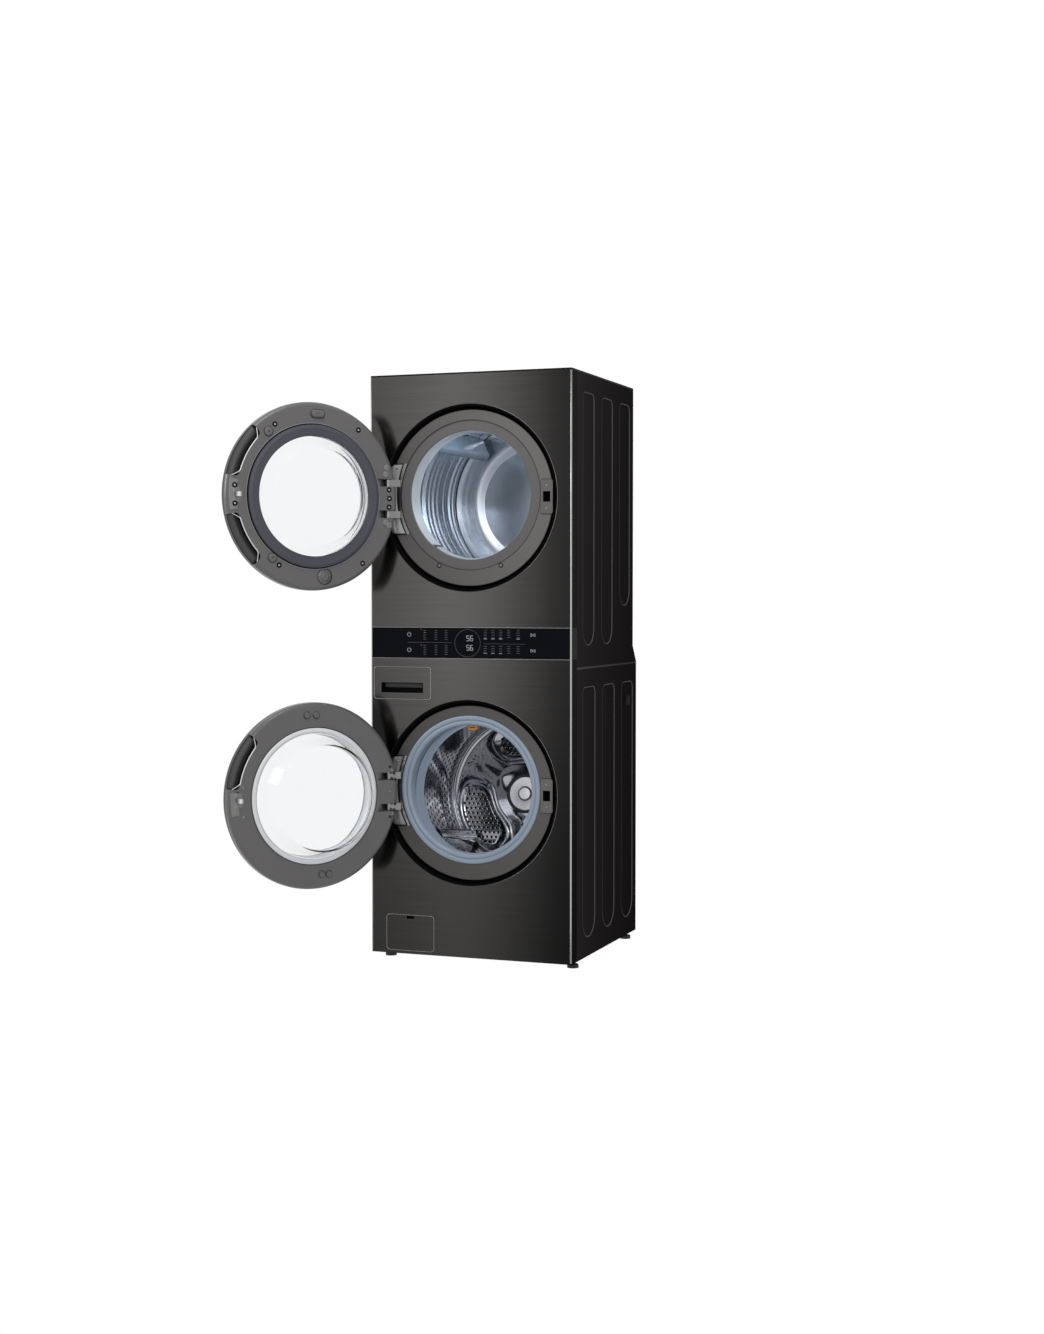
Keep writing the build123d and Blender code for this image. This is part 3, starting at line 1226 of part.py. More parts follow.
def dryer_front_bulkhead():
    """The ring and sleeve of the dryer's mouth, and the sheet that carries them."""
    d0 = FACE_BACK + REVEAL / 2
    corners = [
        (OPENING_R, d0),
        (DRYER_MOUTH_R + RING_STEP, d0),
        (DRYER_MOUTH_R + RING_STEP, d0 + SLEEVE_T),
        (OPENING_R + SLEEVE_T, d0 + SLEEVE_T),
        (OPENING_R + SLEEVE_T, SLEEVE_END),
        (OPENING_R, SLEEVE_END),
    ]
    bulkhead = turned(facing_back(DRYER_MOUTH_Z), corners, [SLEEVE_T, 0, 0, 0, 0, 0])
    plate = bulkhead_plate(BULKHEAD_D, BULKHEAD_D + BULKHEAD_T)
    hole_r = OPENING_R + SLEEVE_T / 2
    bulkhead += plate - rod(0, DRYER_MOUTH_Z, hole_r, BULKHEAD_D - 1, BULKHEAD_D + 2 * BULKHEAD_T)
    return bulkhead - lint_slot(LINT_SLOT_GAP)


def dryer_rear_bulkhead():
    """The fixed back of the dryer drum: sheet, dish, rim, roller axles and heater duct."""
    d0, d1 = REAR_PLATE_D, REAR_PLATE_D + BULKHEAD_T
    plate = bulkhead_plate(d0, d1) - rod(0, DRYER_MOUTH_Z, DISH_R, d0 - 1, d1 + 1)
    deep = d0 + DISH_DEEP
    corners = [
        (0, deep),
        (DISH_R - 2 * DISH_DEEP, deep),
        (DISH_R, d0),
        (DISH_R + 2, d0),
        (DISH_R + 2, d1),
        (DISH_R, d1),
        (DISH_R - 2 * DISH_DEEP, deep + BULKHEAD_T),
        (0, deep + BULKHEAD_T),
    ]
    plate += turned(facing_back(DRYER_MOUTH_Z), corners)
    lip = turned(facing_back(DRYER_MOUTH_Z), [
        (REAR_LIP_R - BULKHEAD_T, DRYER_DRUM_END - DRUM_END_GAP),
        (REAR_LIP_R, DRYER_DRUM_END - DRUM_END_GAP),
        (REAR_LIP_R, d0 + BULKHEAD_T / 2),
        (REAR_LIP_R - BULKHEAD_T, d0 + BULKHEAD_T / 2),
    ])
    plate += lip
    for x, z in roller_places():
        plate += rod(x, z, ROLLER_AXLE_R, roller_depths()[0] - ROLLER_T / 4, d0 + BULKHEAD_T / 2)
    z1 = PANEL_TOP - 2 * BULKHEAD_TOP_GAP
    back = DRYER_DEPTH - SHEET - REVEAL
    half = HEATER_W / 2
    duct = block(-half, half, d0 + BULKHEAD_T / 2, back, z1 - HEATER_TALL, z1)
    inside = half - HEATER_WALL
    duct -= block(-inside, inside, d0, back - HEATER_WALL, z1 - HEATER_TALL + HEATER_WALL, z1 - HEATER_WALL)
    core = rod(0, DRYER_MOUTH_Z, DISH_R, d0, deep + BULKHEAD_T / 2)
    return plate + (duct - core)


def roller_places():
    """The x and z of the two rollers under the dryer drum."""
    reach = DRYER_DRUM_R + RUN_GAP + ROLLER_R
    x = reach * math.sin(math.radians(ROLLER_ANGLE))
    z = DRYER_MOUTH_Z - reach * math.cos(math.radians(ROLLER_ANGLE))
    return (-x, z), (x, z)


def roller_depths():
    """The front and back faces of the rollers."""
    d1 = REAR_PLATE_D - ROLLER_SETBACK
    return d1 - ROLLER_T, d1


def drum_roller(x, z):
    """A support roller with its bore."""
    d0, d1 = roller_depths()
    roller = rod(x, z, ROLLER_R, d0, d1)
    return roller - rod(x, z, ROLLER_AXLE_R + ROLLER_FIT, d0 - 1, d1 + 1)


def dryer_drum():
    """The dryer drum: a front wall with a mouth, a beaded wall and an open back."""
    inner = DRYER_DRUM_R - SHEET
    start, stop = DRYER_DRUM_FRONT, DRYER_DRUM_END
    corners = [
        (DRYER_DRUM_MOUTH, start),
        (DRYER_DRUM_R, start),
        (DRYER_DRUM_R, stop),
        (inner, stop),
        (inner, start + SHEET),
        (DRYER_DRUM_MOUTH, start + SHEET),
    ]
    drum = turned(facing_back(DRYER_MOUTH_Z), corners, [0, DOOR_SKIN * 2, 0, 0, DOOR_SKIN * 2 - SHEET, 0])
    pitch = (stop - start) / (BEADS + 1)
    for i in range(BEADS):
        middle = start + pitch * (i + 1)
        if abs(middle - BELT_D) < BELT_W + BEAD_W:
            middle += 2 * BEAD_W
        half = BEAD_W / 2
        crest, root = (inner - BEAD_TALL, middle), (inner + SHEET / 2, middle)
        bead = [crest, (inner, middle - half), root, (inner, middle + half)]
        drum += turned(facing_back(DRYER_MOUTH_Z), bead, [BEAD_W / 4, 0, 0, 0])
    return drum


def dryer_baffles():
    """The ridges that lift the laundry in the dryer drum."""
    frame = facing_back(DRYER_MOUTH_Z)
    start, stop = DRYER_DRUM_FRONT + BAFFLE_END_GAP, DRYER_DRUM_END - BAFFLE_END_GAP
    wall_r = DRYER_DRUM_R - SHEET - BEAD_TALL
    turns = [BAFFLE_TURN + 360 / BAFFLES * i for i in range(BAFFLES)]
    return [ridge(frame, wall_r, BAFFLE_BASE, BAFFLE_TOP, BAFFLE_TALL, start, stop, a) for a in turns]


def dryer_motor():
    """The dryer motor on its stand, bored for the shaft."""
    d0, d1 = MOTOR_FRONT, MOTOR_FRONT + MOTOR_LENGTH
    motor = rod(MOTOR_X, MOTOR_Z, MOTOR_R, d0, d1)
    motor = fillet(motor.edges(), MOTOR_R / 8)
    half = MOTOR_R * 0.7
    inset = MOTOR_R / 5
    motor += block(MOTOR_X - half, MOTOR_X + half, d0 + inset, d1 - inset, DECK_Z + DECK_T, MOTOR_Z)
    return motor - rod(MOTOR_X, MOTOR_Z, MOTOR_SHAFT_R + SHAFT_FIT, d0 - 1, d1 + 1)


def motor_shaft():
    """The motor's shaft with the belt pulley on its back end."""
    shaft = rod(MOTOR_X, MOTOR_Z, MOTOR_SHAFT_R, BLOWER_FRONT + 2 * BLOWER_WALL, BELT_D + BELT_W)
    half = BELT_W / 2 + PULLEY_MARGIN
    return shaft + rod(MOTOR_X, MOTOR_Z, PULLEY_R, BELT_D - half, BELT_D + half)


def drive_belt():
    """The belt round the drum and the motor's pulley."""
    def loop(extra):
        big = Pos(0, DRYER_MOUTH_Z) * Circle(DRYER_DRUM_R + extra)
        small = Pos(MOTOR_X, MOTOR_Z) * Circle(PULLEY_R + extra)
        return make_hull(big.edges() + small.edges())

    return slab(loop(RUN_GAP + BELT_T) - loop(RUN_GAP), BELT_D - BELT_W / 2, BELT_D + BELT_W / 2)


def blower_wheel():
    """The fan wheel on the front end of the motor's shaft."""
    d0 = BLOWER_FRONT + (BLOWER_LENGTH - WHEEL_T) / 2
    d1 = d0 + WHEEL_T
    wheel = rod(MOTOR_X, MOTOR_Z, WHEEL_R, d1 - WHEEL_WALL, d1)
    wheel += rod(MOTOR_X, MOTOR_Z, MOTOR_SHAFT_R * 3, d1 - WHEEL_T / 2, d1)
    blade = Pos(MOTOR_X, MOTOR_Z)
    blades = [blade * Rot(0, 0, 360 / WHEEL_BLADES * i) * Pos(WHEEL_R * 0.8, 0) * Rotation(0, 0, 30)
              * Rectangle(WHEEL_R * 0.36, WHEEL_WALL) for i in range(WHEEL_BLADES)]
    wheel += slab(Sketch() + blades, d0, d1 - WHEEL_WALL / 2)
    return wheel - rod(MOTOR_X, MOTOR_Z, MOTOR_SHAFT_R, d0 - 1, d1 + 1)


def blower_housing():
    """The air path below the drum: lint duct, blower scroll and the elbow to the exhaust."""
    t = DUCT_WALL_T
    d0, d1 = LINT_D, LINT_D + LINT_DUCT_D
    half = LINT_W / 2 + LINT_SLOT_GAP + t
    scroll_end = BLOWER_FRONT + BLOWER_LENGTH
    mouth_z = BULKHEAD_FOOT_Z + 2 * LEDGE

    def air(grow):
        low = LINT_FOOT_Z - 2 * LEDGE
        front, back = d0 + t - grow, d1 - t + grow
        path = block(-half + t - grow, half - t + grow, front, back, low - grow, mouth_z + (t - grow) * 2)
        x0, x1 = MOTOR_X - INLET_R - grow, half - t + grow
        z0, z1 = MOTOR_Z - INLET_R / 2 - grow, MOTOR_Z + INLET_R / 2 + grow
        path += block(x0, x1, front, back, z0, low + LEDGE)
        path += block(x0, x1, front, BLOWER_FRONT + t, z0, z1)
        start, stop = BLOWER_FRONT + t - grow, scroll_end - t + grow
        path += rod(MOTOR_X, MOTOR_Z, BLOWER_R + grow, start, stop)
        reach = DUCT_R + t + grow
        path += block(DUCT_X - reach, MOTOR_X - BLOWER_R / 2, start, stop, DUCT_Z - reach, DUCT_Z + reach)
        return path

    housing = air(t) - air(0)
    housing -= rod(DUCT_X, DUCT_Z, DUCT_R - DUCT_WALL, scroll_end - 2 * t, scroll_end + t)
    return housing - rod(MOTOR_X, MOTOR_Z, MOTOR_SHAFT_R * 2, scroll_end - 2 * t, scroll_end + t)


def exhaust_duct():
    """The round exhaust duct, from the blower out through the back."""
    d0 = BLOWER_FRONT + BLOWER_LENGTH
    duct = rod(DUCT_X, DUCT_Z, DUCT_R, d0, WASHER_DEPTH)
    return duct - rod(DUCT_X, DUCT_Z, DUCT_R - DUCT_WALL, d0 - 1, WASHER_DEPTH + 1)


def lint_filter():
    """The lint filter: a screen frame that drops into the sill, with a curved band as its handle."""
    outer = OPENING_R - RUN_GAP
    band = sector(outer - LINT_BAND_T, outer, 270 - LINT_BAND_ANGLE, 270 + LINT_BAND_ANGLE)
    handle = slab(Pos(0, DRYER_MOUTH_Z) * band, LINT_BAND_D0, LINT_BAND_D1)
    middle = LINT_D + LINT_DUCT_D / 2
    above = slab(Pos(0, DRYER_MOUTH_Z) * Circle(outer - LINT_BAND_T / 2), middle - LINT_T, middle + LINT_T)
    screen = lint_slot(0) - above
    rib = LEDGE / 2
    hole_half = LINT_W / 2 - LEDGE
    z0, z1 = LINT_FOOT_Z + LEDGE, DRYER_MOUTH_Z - OPENING_R - LEDGE
    for x0, x1 in ((-hole_half, -rib), (rib, hole_half)):
        screen -= block(x0, x1, LINT_D, LINT_D + LINT_DUCT_D, z0, z1)
    return handle + screen + block(-hole_half, hole_half, middle - SHEET, middle + SHEET, z0, z1)


def nodes():
    """Every piece of the tower under its node name."""
    washer_bowl = (WASHER_GLASS_R, WASHER_SHOULDER_R, WASHER_BOWL_R, WASHER_BOWL_D)
    dryer_bowl = (DRYER_GLASS_R, DRYER_SHOULDER_R, DRYER_BOWL_R, DRYER_BOWL_D)
    pieces = {
        "base_pan": base_pan(),
        "washer_side_panels": washer_side_panels(),
        "washer_back_panel": washer_back_panel(),
        "dryer_side_panels": dryer_side_panels(),
        "dryer_back_panel": dryer_back_panel(),
        "top_cover": top_cover(),
        "mid_deck": mid_deck(),
        "washer_front_panel": washer_front_panel(),
        "dryer_front_panel": dryer_front_panel(),
        "control_fascia": control_fascia(),
        "control_board": control_board(),
        "washer_door_surround": door_surround(WASHER_RING_Z, WASHER_MOUTH_Z, WASHER_MOUTH_R),
        "dryer_door_surround": door_surround(DRYER_RING_Z, DRYER_MOUTH_Z, DRYER_MOUTH_R),
        "door_hinge_plates": [
            hinge_plate(WASHER_RING_Z, WASHER_MOUTH_Z, WASHER_MOUTH_R),
            hinge_plate(DRYER_RING_Z, DRYER_MOUTH_Z, DRYER_MOUTH_R),
        ],
        "door_latches": [door_latch(WASHER_RING_Z), door_latch(DRYER_RING_Z)],
        "door_gasket": door_gasket(),
        "dispenser_housing": dispenser_housing(),
        "drain_pump": drain_pump(),
        "inlet_valve": inlet_valve(),
        "dryer_front_bulkhead": dryer_front_bulkhead(),
        "dryer_rear_bulkhead": dryer_rear_bulkhead(),
        "dryer_motor": dryer_motor(),
        "drive_belt": drive_belt(),
        "blower_housing": blower_housing(),
        "exhaust_duct": exhaust_duct(),
        "tub_front": tub_front(),
        "tub_rear": tub_rear(),
        "counterweights": counterweights(),
        "motor_stator": motor_stator(),
        "tub_suspension": tub_suspension(),
        "washer_drum": washer_drum(),
        "drum_lifters": drum_lifters(),
        "drum_spider": drum_spider(),
        "motor_rotor": motor_rotor(),
        "dryer_drum": dryer_drum(),
        "dryer_baffles": dryer_baffles(),
        "motor_shaft": motor_shaft(),
        "blower_wheel": blower_wheel(),
        "detergent_drawer": drawer_tray(),
        "drawer_front": drawer_front(),
        "filter_flap": filter_flap(),
        "filter_plug": filter_plug(),
        "lint_filter": lint_filter(),
        "washer_door_outer_frame": swung(door_outer_frame(WASHER_RING_Z)),
        "washer_door_inner_frame": swung(door_inner_frame(WASHER_RING_Z, WASHER_GLASS_R, WASHER_PULLS)),
        "washer_door_window": swung(door_window(WASHER_RING_Z)),
        "washer_door_glass": swung(door_glass(WASHER_RING_Z, washer_bowl)),
        "washer_door_fittings": swung(door_fittings(WASHER_RING_Z)),
        "dryer_door_outer_frame": swung(door_outer_frame(DRYER_RING_Z)),
        "dryer_door_inner_frame": swung(door_inner_frame(DRYER_RING_Z, DRYER_GLASS_R, DRYER_PULLS)),
        "dryer_door_window": swung(door_window(DRYER_RING_Z)),
        "dryer_door_glass": swung(door_glass(DRYER_RING_Z, dryer_bowl)),
        "dryer_door_seal": swung(dryer_door_seal()),
        "dryer_door_fittings": swung(door_fittings(DRYER_RING_Z)),
    }
    for side, (x, z) in zip(("left", "right"), roller_places()):
        pieces[f"{side}_drum_roller"] = drum_roller(x, z)
    corners = ("front_left", "front_right", "rear_left", "rear_right")
    for corner, (x, depth) in zip(corners, foot_places()):
        pieces[f"{corner}_foot"] = levelling_foot(x, depth)
    return pieces


os.makedirs("parts", exist_ok=True)
for name, piece in nodes().items():
    solids = piece if isinstance(piece, list) else [piece]
    whole = [solid for shape in solids for solid in shape.solids()]
    export_step(whole[0] if len(whole) == 1 else Compound(whole), f"parts/{name}.step")
    print(name, len(whole), round(sum(solid.volume for solid in whole)))
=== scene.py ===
# %% [markdown]
# # A laundry tower with both doors open
# A washer and a dryer share one tall cabinet of dark brushed steel. The solid model brings every panel, door
# and drum at its real size and place. This lesson gives them their finishes, and adds what is too fine for
# solid modelling: pressed ribs, perforations, lit signs and screws, and thin bars of painted highlight and
# painted shadow along edges. Some finishes carry painted light and shade as well.

import bmesh
import bpy
import numpy as np
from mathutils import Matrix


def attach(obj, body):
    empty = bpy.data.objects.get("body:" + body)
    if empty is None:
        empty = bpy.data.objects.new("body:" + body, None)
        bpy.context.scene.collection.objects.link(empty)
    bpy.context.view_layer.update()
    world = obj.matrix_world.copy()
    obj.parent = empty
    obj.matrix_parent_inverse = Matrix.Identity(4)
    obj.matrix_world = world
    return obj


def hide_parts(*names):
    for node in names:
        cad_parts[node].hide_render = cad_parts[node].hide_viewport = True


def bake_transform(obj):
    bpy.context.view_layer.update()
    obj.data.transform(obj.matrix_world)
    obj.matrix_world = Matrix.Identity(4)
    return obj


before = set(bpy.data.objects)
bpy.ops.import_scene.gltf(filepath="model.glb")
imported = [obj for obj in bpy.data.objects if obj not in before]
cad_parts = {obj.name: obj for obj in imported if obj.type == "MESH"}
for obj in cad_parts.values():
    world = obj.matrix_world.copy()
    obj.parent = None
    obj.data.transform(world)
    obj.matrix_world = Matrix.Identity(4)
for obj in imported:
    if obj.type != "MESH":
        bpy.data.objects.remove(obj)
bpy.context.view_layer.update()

# %% [markdown]
# ## Places that many pieces share
# The tower stands on z = 0 and faces -y. Lengths are metres. The door rings and the mouths behind them have
# their own centres, and the washer's drum leans back a little, so its axis is kept as a direction.

# %% Shared places
FRONT = -0.345
HALF_WIDTH = 0.343
PAN, TOP = 0.026, 1.884
WASHER_RING, DRYER_RING = 0.554, 1.492
WASHER_MOUTH, DRYER_MOUTH = 0.564, 1.501
RINGS = {"washer": WASHER_RING, "dryer": DRYER_RING}
RING_R = 0.297
HINGE_X, HINGE_Y = -0.270, FRONT - 0.026
SEAM = 0.953
TUB_START = 0.060
OPEN = np.radians(-128.5)
LEAN = np.radians(7.6)
TURN = 2 * np.pi


def join(*parts):
    """Coordinates side by side: the parts are spread to one shape, and the last axis counts them."""
    return np.stack(np.broadcast_arrays(*parts), axis=-1)


def circle(steps):
    """Evenly spread angles round a full turn."""
    return np.linspace(0, TURN, steps, endpoint=False)


def swing(points):
    """Turns a closed door's points about the upright hinge pin to where the open door stands."""
    x = points[..., 0] - HINGE_X
    y = points[..., 1] - HINGE_Y
    across = HINGE_X + x * np.cos(OPEN) - y * np.sin(OPEN)
    deep = HINGE_Y + x * np.sin(OPEN) + y * np.cos(OPEN)
    return join(across, deep, points[..., 2])


def turned(profile, height, rays=96, start=0.0, stop=TURN):
    """Carries a profile of (radius, depth) pairs round the level axis at a height: x = r cos a,
    z = height + r sin a, y = front + depth. The grid has one row per ray."""
    whole = np.isclose(stop - start, TURN)
    angle = np.linspace(start, stop, rays, endpoint=not whole)[:, None]
    radius, depth = np.asarray(profile, float).T[:, None, :]
    across = radius * np.cos(angle)
    up = height + radius * np.sin(angle)
    return join(across, FRONT + depth, up)


def leaned(radius, angle, along):
    """A point of the leaning drum: along its axis from the tub's origin, then out by radius at an angle."""
    side = radius * np.cos(angle)
    rise = radius * np.sin(angle)
    deep = FRONT + TUB_START + along * np.cos(LEAN) + rise * np.sin(LEAN)
    up = WASHER_MOUTH - along * np.sin(LEAN) + rise * np.cos(LEAN)
    return join(side, deep, up)


print("front plane", FRONT, "ring heights", WASHER_RING, DRYER_RING)

# %% [markdown]
# ## Camera
# The photograph looks from the right and a little above, with a normal lens. The camera repeats it, and the
# plain Standard view keeps colours as they are written.

# %% Camera
scene = bpy.context.scene
camera = bpy.data.objects.new("camera", bpy.data.cameras.new("camera"))
camera.data.sensor_width = 36.0
camera.data.lens = 51.93
camera.location = (2.2731, -6.0156, 1.180)
camera.rotation_euler = np.radians((87.9, 0.0, 20.275))
scene.collection.objects.link(camera)
scene.camera = camera
scene.view_settings.view_transform = "Standard"
print("camera at", tuple(camera.location))

# %% [markdown]
# ## Building shaders
# A shader is a small graph of nodes. One helper adds a node, makes its settings and feeds its sockets, each
# with a value or with a link from another node. The world and all the finishes are built with it.

# %% Node helpers


def feed(tree, node, feeds):
    """Gives sockets, by name or number, a value, or a link where the value is another node's socket."""
    for socket, value in feeds.items():
        if isinstance(value, bpy.types.NodeSocket):
            tree.links.new(value, node.inputs[socket])
        else:
            node.inputs[socket].default_value = value


def put(tree, kind, feeds=(), **settings):
    """Adds a shader node, makes its settings and feeds it."""
    node = tree.nodes.new("ShaderNode" + kind)
    for setting, value in settings.items():
        setattr(node, setting, value)
    feed(tree, node, dict(feeds))
    return node


def work(tree, operation, *values, **settings):
    """One step of arithmetic on values or sockets."""
    return put(tree, "Math", enumerate(values), operation=operation, **settings).outputs[0]


def new_group(name, given, wanted):
    """A node group from labels and kinds of sockets, with its given sockets and its closing node."""
    group = bpy.data.node_groups.new(name, "ShaderNodeTree")
    for way, sockets in (("INPUT", given), ("OUTPUT", wanted)):
        for label, kind in sockets.items():
            group.interface.new_socket(label, in_out=way, socket_type="NodeSocket" + kind)
    return group, group.nodes.new("NodeGroupInput").outputs, group.nodes.new("NodeGroupOutput")


print("node helpers ready")

# %% [markdown]
# ## Studio
# Soft boxes at the left, right and above light the tower, and a small lamp sits in each drum's mouth, as it
# does in the machine. The world is plain white where the camera, a mirror or a glass looks at it, and dimmer
# as a lamp, so white stays the colour of the background.

# %% Studio lights


def soft_box(name, place, aim, size, watts):
    """A square lamp at a place, turned so that it shines at the aim."""
    lamp = bpy.data.objects.new(name, bpy.data.lights.new(name, "AREA"))
    lamp.data.size = size
    lamp.data.energy = watts
    lamp.location = place
    toward = np.subtract(aim, place)
    level = np.hypot(toward[0], toward[1])
    lamp.rotation_euler = (np.arctan2(level, -toward[2]), 0.0, np.arctan2(-toward[0], toward[1]))
    scene.collection.objects.link(lamp)
    return lamp


world = bpy.data.worlds.new("studio")
world.use_nodes = True
scene.world = world
sky = world.node_tree
rays = put(sky, "LightPath").outputs
looked_at = work(sky, "ADD", rays["Is Camera Ray"], rays["Is Glossy Ray"])
looked_at = work(sky, "ADD", looked_at, rays["Is Transmission Ray"], use_clamp=True)
strength = work(sky, "MULTIPLY_ADD", looked_at, 0.5, 0.5)
feed(sky, sky.nodes["Background"], {"Color": (1.0, 1.0, 1.0, 1.0), "Strength": strength})

LAMP_Y, DRUM_Y = FRONT + 0.110, FRONT + 0.500
soft_box("key_left", (-3.8, -2.0, 2.6), (0.0, -0.3, 1.1), 1.8, 60.0)
soft_box("fill_right", (2.6, -4.6, 2.6), (0.0, -0.3, 1.1), 1.6, 40.0)
soft_box("top_light", (0.2, -1.6, 3.6), (0.0, -0.3, 1.0), 1.2, 20.0)
soft_box("drum_lamp", (0.06, LAMP_Y, DRYER_MOUTH + 0.205), (-0.06, DRUM_Y, DRYER_MOUTH), 0.12, 0.7)
mouth_lamp = soft_box("mouth_lamp", (0.07, LAMP_Y, WASHER_MOUTH + 0.150), (0.0, DRUM_Y, WASHER_MOUTH - 0.06),
                      0.10, 1.0)
mouth_lamp.visible_glossy = False
print("studio ready")

# %% [markdown]
# ## Shared surface effects
# Moulded plastic has fine grain, brushed steel has long level scratches, and pressed sheet has faint
# clouds. All three are noise that is stretched in its own way, so one function builds each as a node group
# with the same sockets. A group gives colour, roughness and height, and the shader stays in the material.

# %% Node groups for grain, brushing and clouds


def surface_group(name, stretch, detail):
    """Noise over Object coordinates times a stretch. Shade = 1 + variation * (2 * noise - 1), and it scales
    both the colour and the roughness. The height is the noise itself."""
    group, given, closing = new_group(
        name, {"Colour": "Color", "Roughness": "Float", "Size": "Float", "Variation": "Float"},
        {"Colour": "Color", "Roughness": "Float", "Height": "Float"})
    place = put(group, "TexCoord").outputs["Object"]
    pulled = put(group, "VectorMath", {0: place, 1: stretch}, operation="MULTIPLY").outputs[0]
    grain = put(group, "TexNoise", {"Vector": pulled, "Scale": given["Size"], "Detail": detail})
    noise = grain.outputs["Fac"]
    centred = work(group, "MULTIPLY_ADD", noise, 2.0, -1.0)
    shade = work(group, "MULTIPLY_ADD", centred, given["Variation"], 1.0)
    tint = put(group, "VectorMath", {0: given["Colour"], "Scale": shade}, operation="SCALE").outputs[0]
    rough = work(group, "MULTIPLY", given["Roughness"], shade)
    feed(group, closing, {"Colour": tint, "Roughness": rough, "Height": noise})
    return group


moulded = surface_group("moulded_grain", (1.0, 1.0, 1.0), 3.0)
brushed = surface_group("brushed_lines", (0.006, 0.006, 1.0), 2.0)
clouded = surface_group("rolled_clouds", (1.0, 0.4, 0.4), 4.0)
print("groups:", [g.name for g in bpy.data.node_groups])

# %% [markdown]
# ## Finishes
# Each finish is a Principled shader fed by one of the groups. Colours are given as they look on screen and
# turned into the linear values that shaders use.

# %% Finishes


def linear(red, green, blue):
    """Screen levels from 0 to 255 as linear light: ((s + 0.055) / 1.055) to the power 2.4."""
    level = (np.array([red, green, blue]) / 255 + 0.055) / 1.055
    return (*(level ** 2.4), 1.0)


def finish(name, colour, roughness, size, variation, bump, metal=0.0, effect=moulded):
    """A Principled material whose colour, roughness and bump come from one surface group."""
    material = bpy.data.materials.new(name)
    material.use_nodes = True
    tree = material.node_tree
    surface = put(tree, "Group", {"Colour": linear(*colour), "Roughness": roughness, "Size": size,
                                  "Variation": variation}, node_tree=effect)
    relief = put(tree, "Bump", {"Strength": bump, "Distance": 0.001, "Height": surface.outputs["Height"]})
    feed(tree, tree.nodes["Principled BSDF"], {
        "Base Color": surface.outputs["Colour"], "Roughness": surface.outputs["Roughness"],
        "Normal": relief.outputs["Normal"], "Metallic": metal, **EXTRAS.get(name, {})})
    return material


SHINE, CLEAR = "Specular IOR Level", "Transmission Weight"
EXTRAS = {
    "side_edge_highlight": {SHINE: 0.0}, "side_paint": {SHINE: 0.0}, "top_paint": {SHINE: 0.05},
    "strip_glass": {SHINE: 0.008}, "shadow_black": {SHINE: 0.02}, "door_grey": {"Coat Weight": 0.15},
    "door_glass": {CLEAR: 1.0, "IOR": 1.16}, "door_window": {CLEAR: 1.0, "IOR": 1.12},
    "baffle_plastic": {CLEAR: 0.35},
}
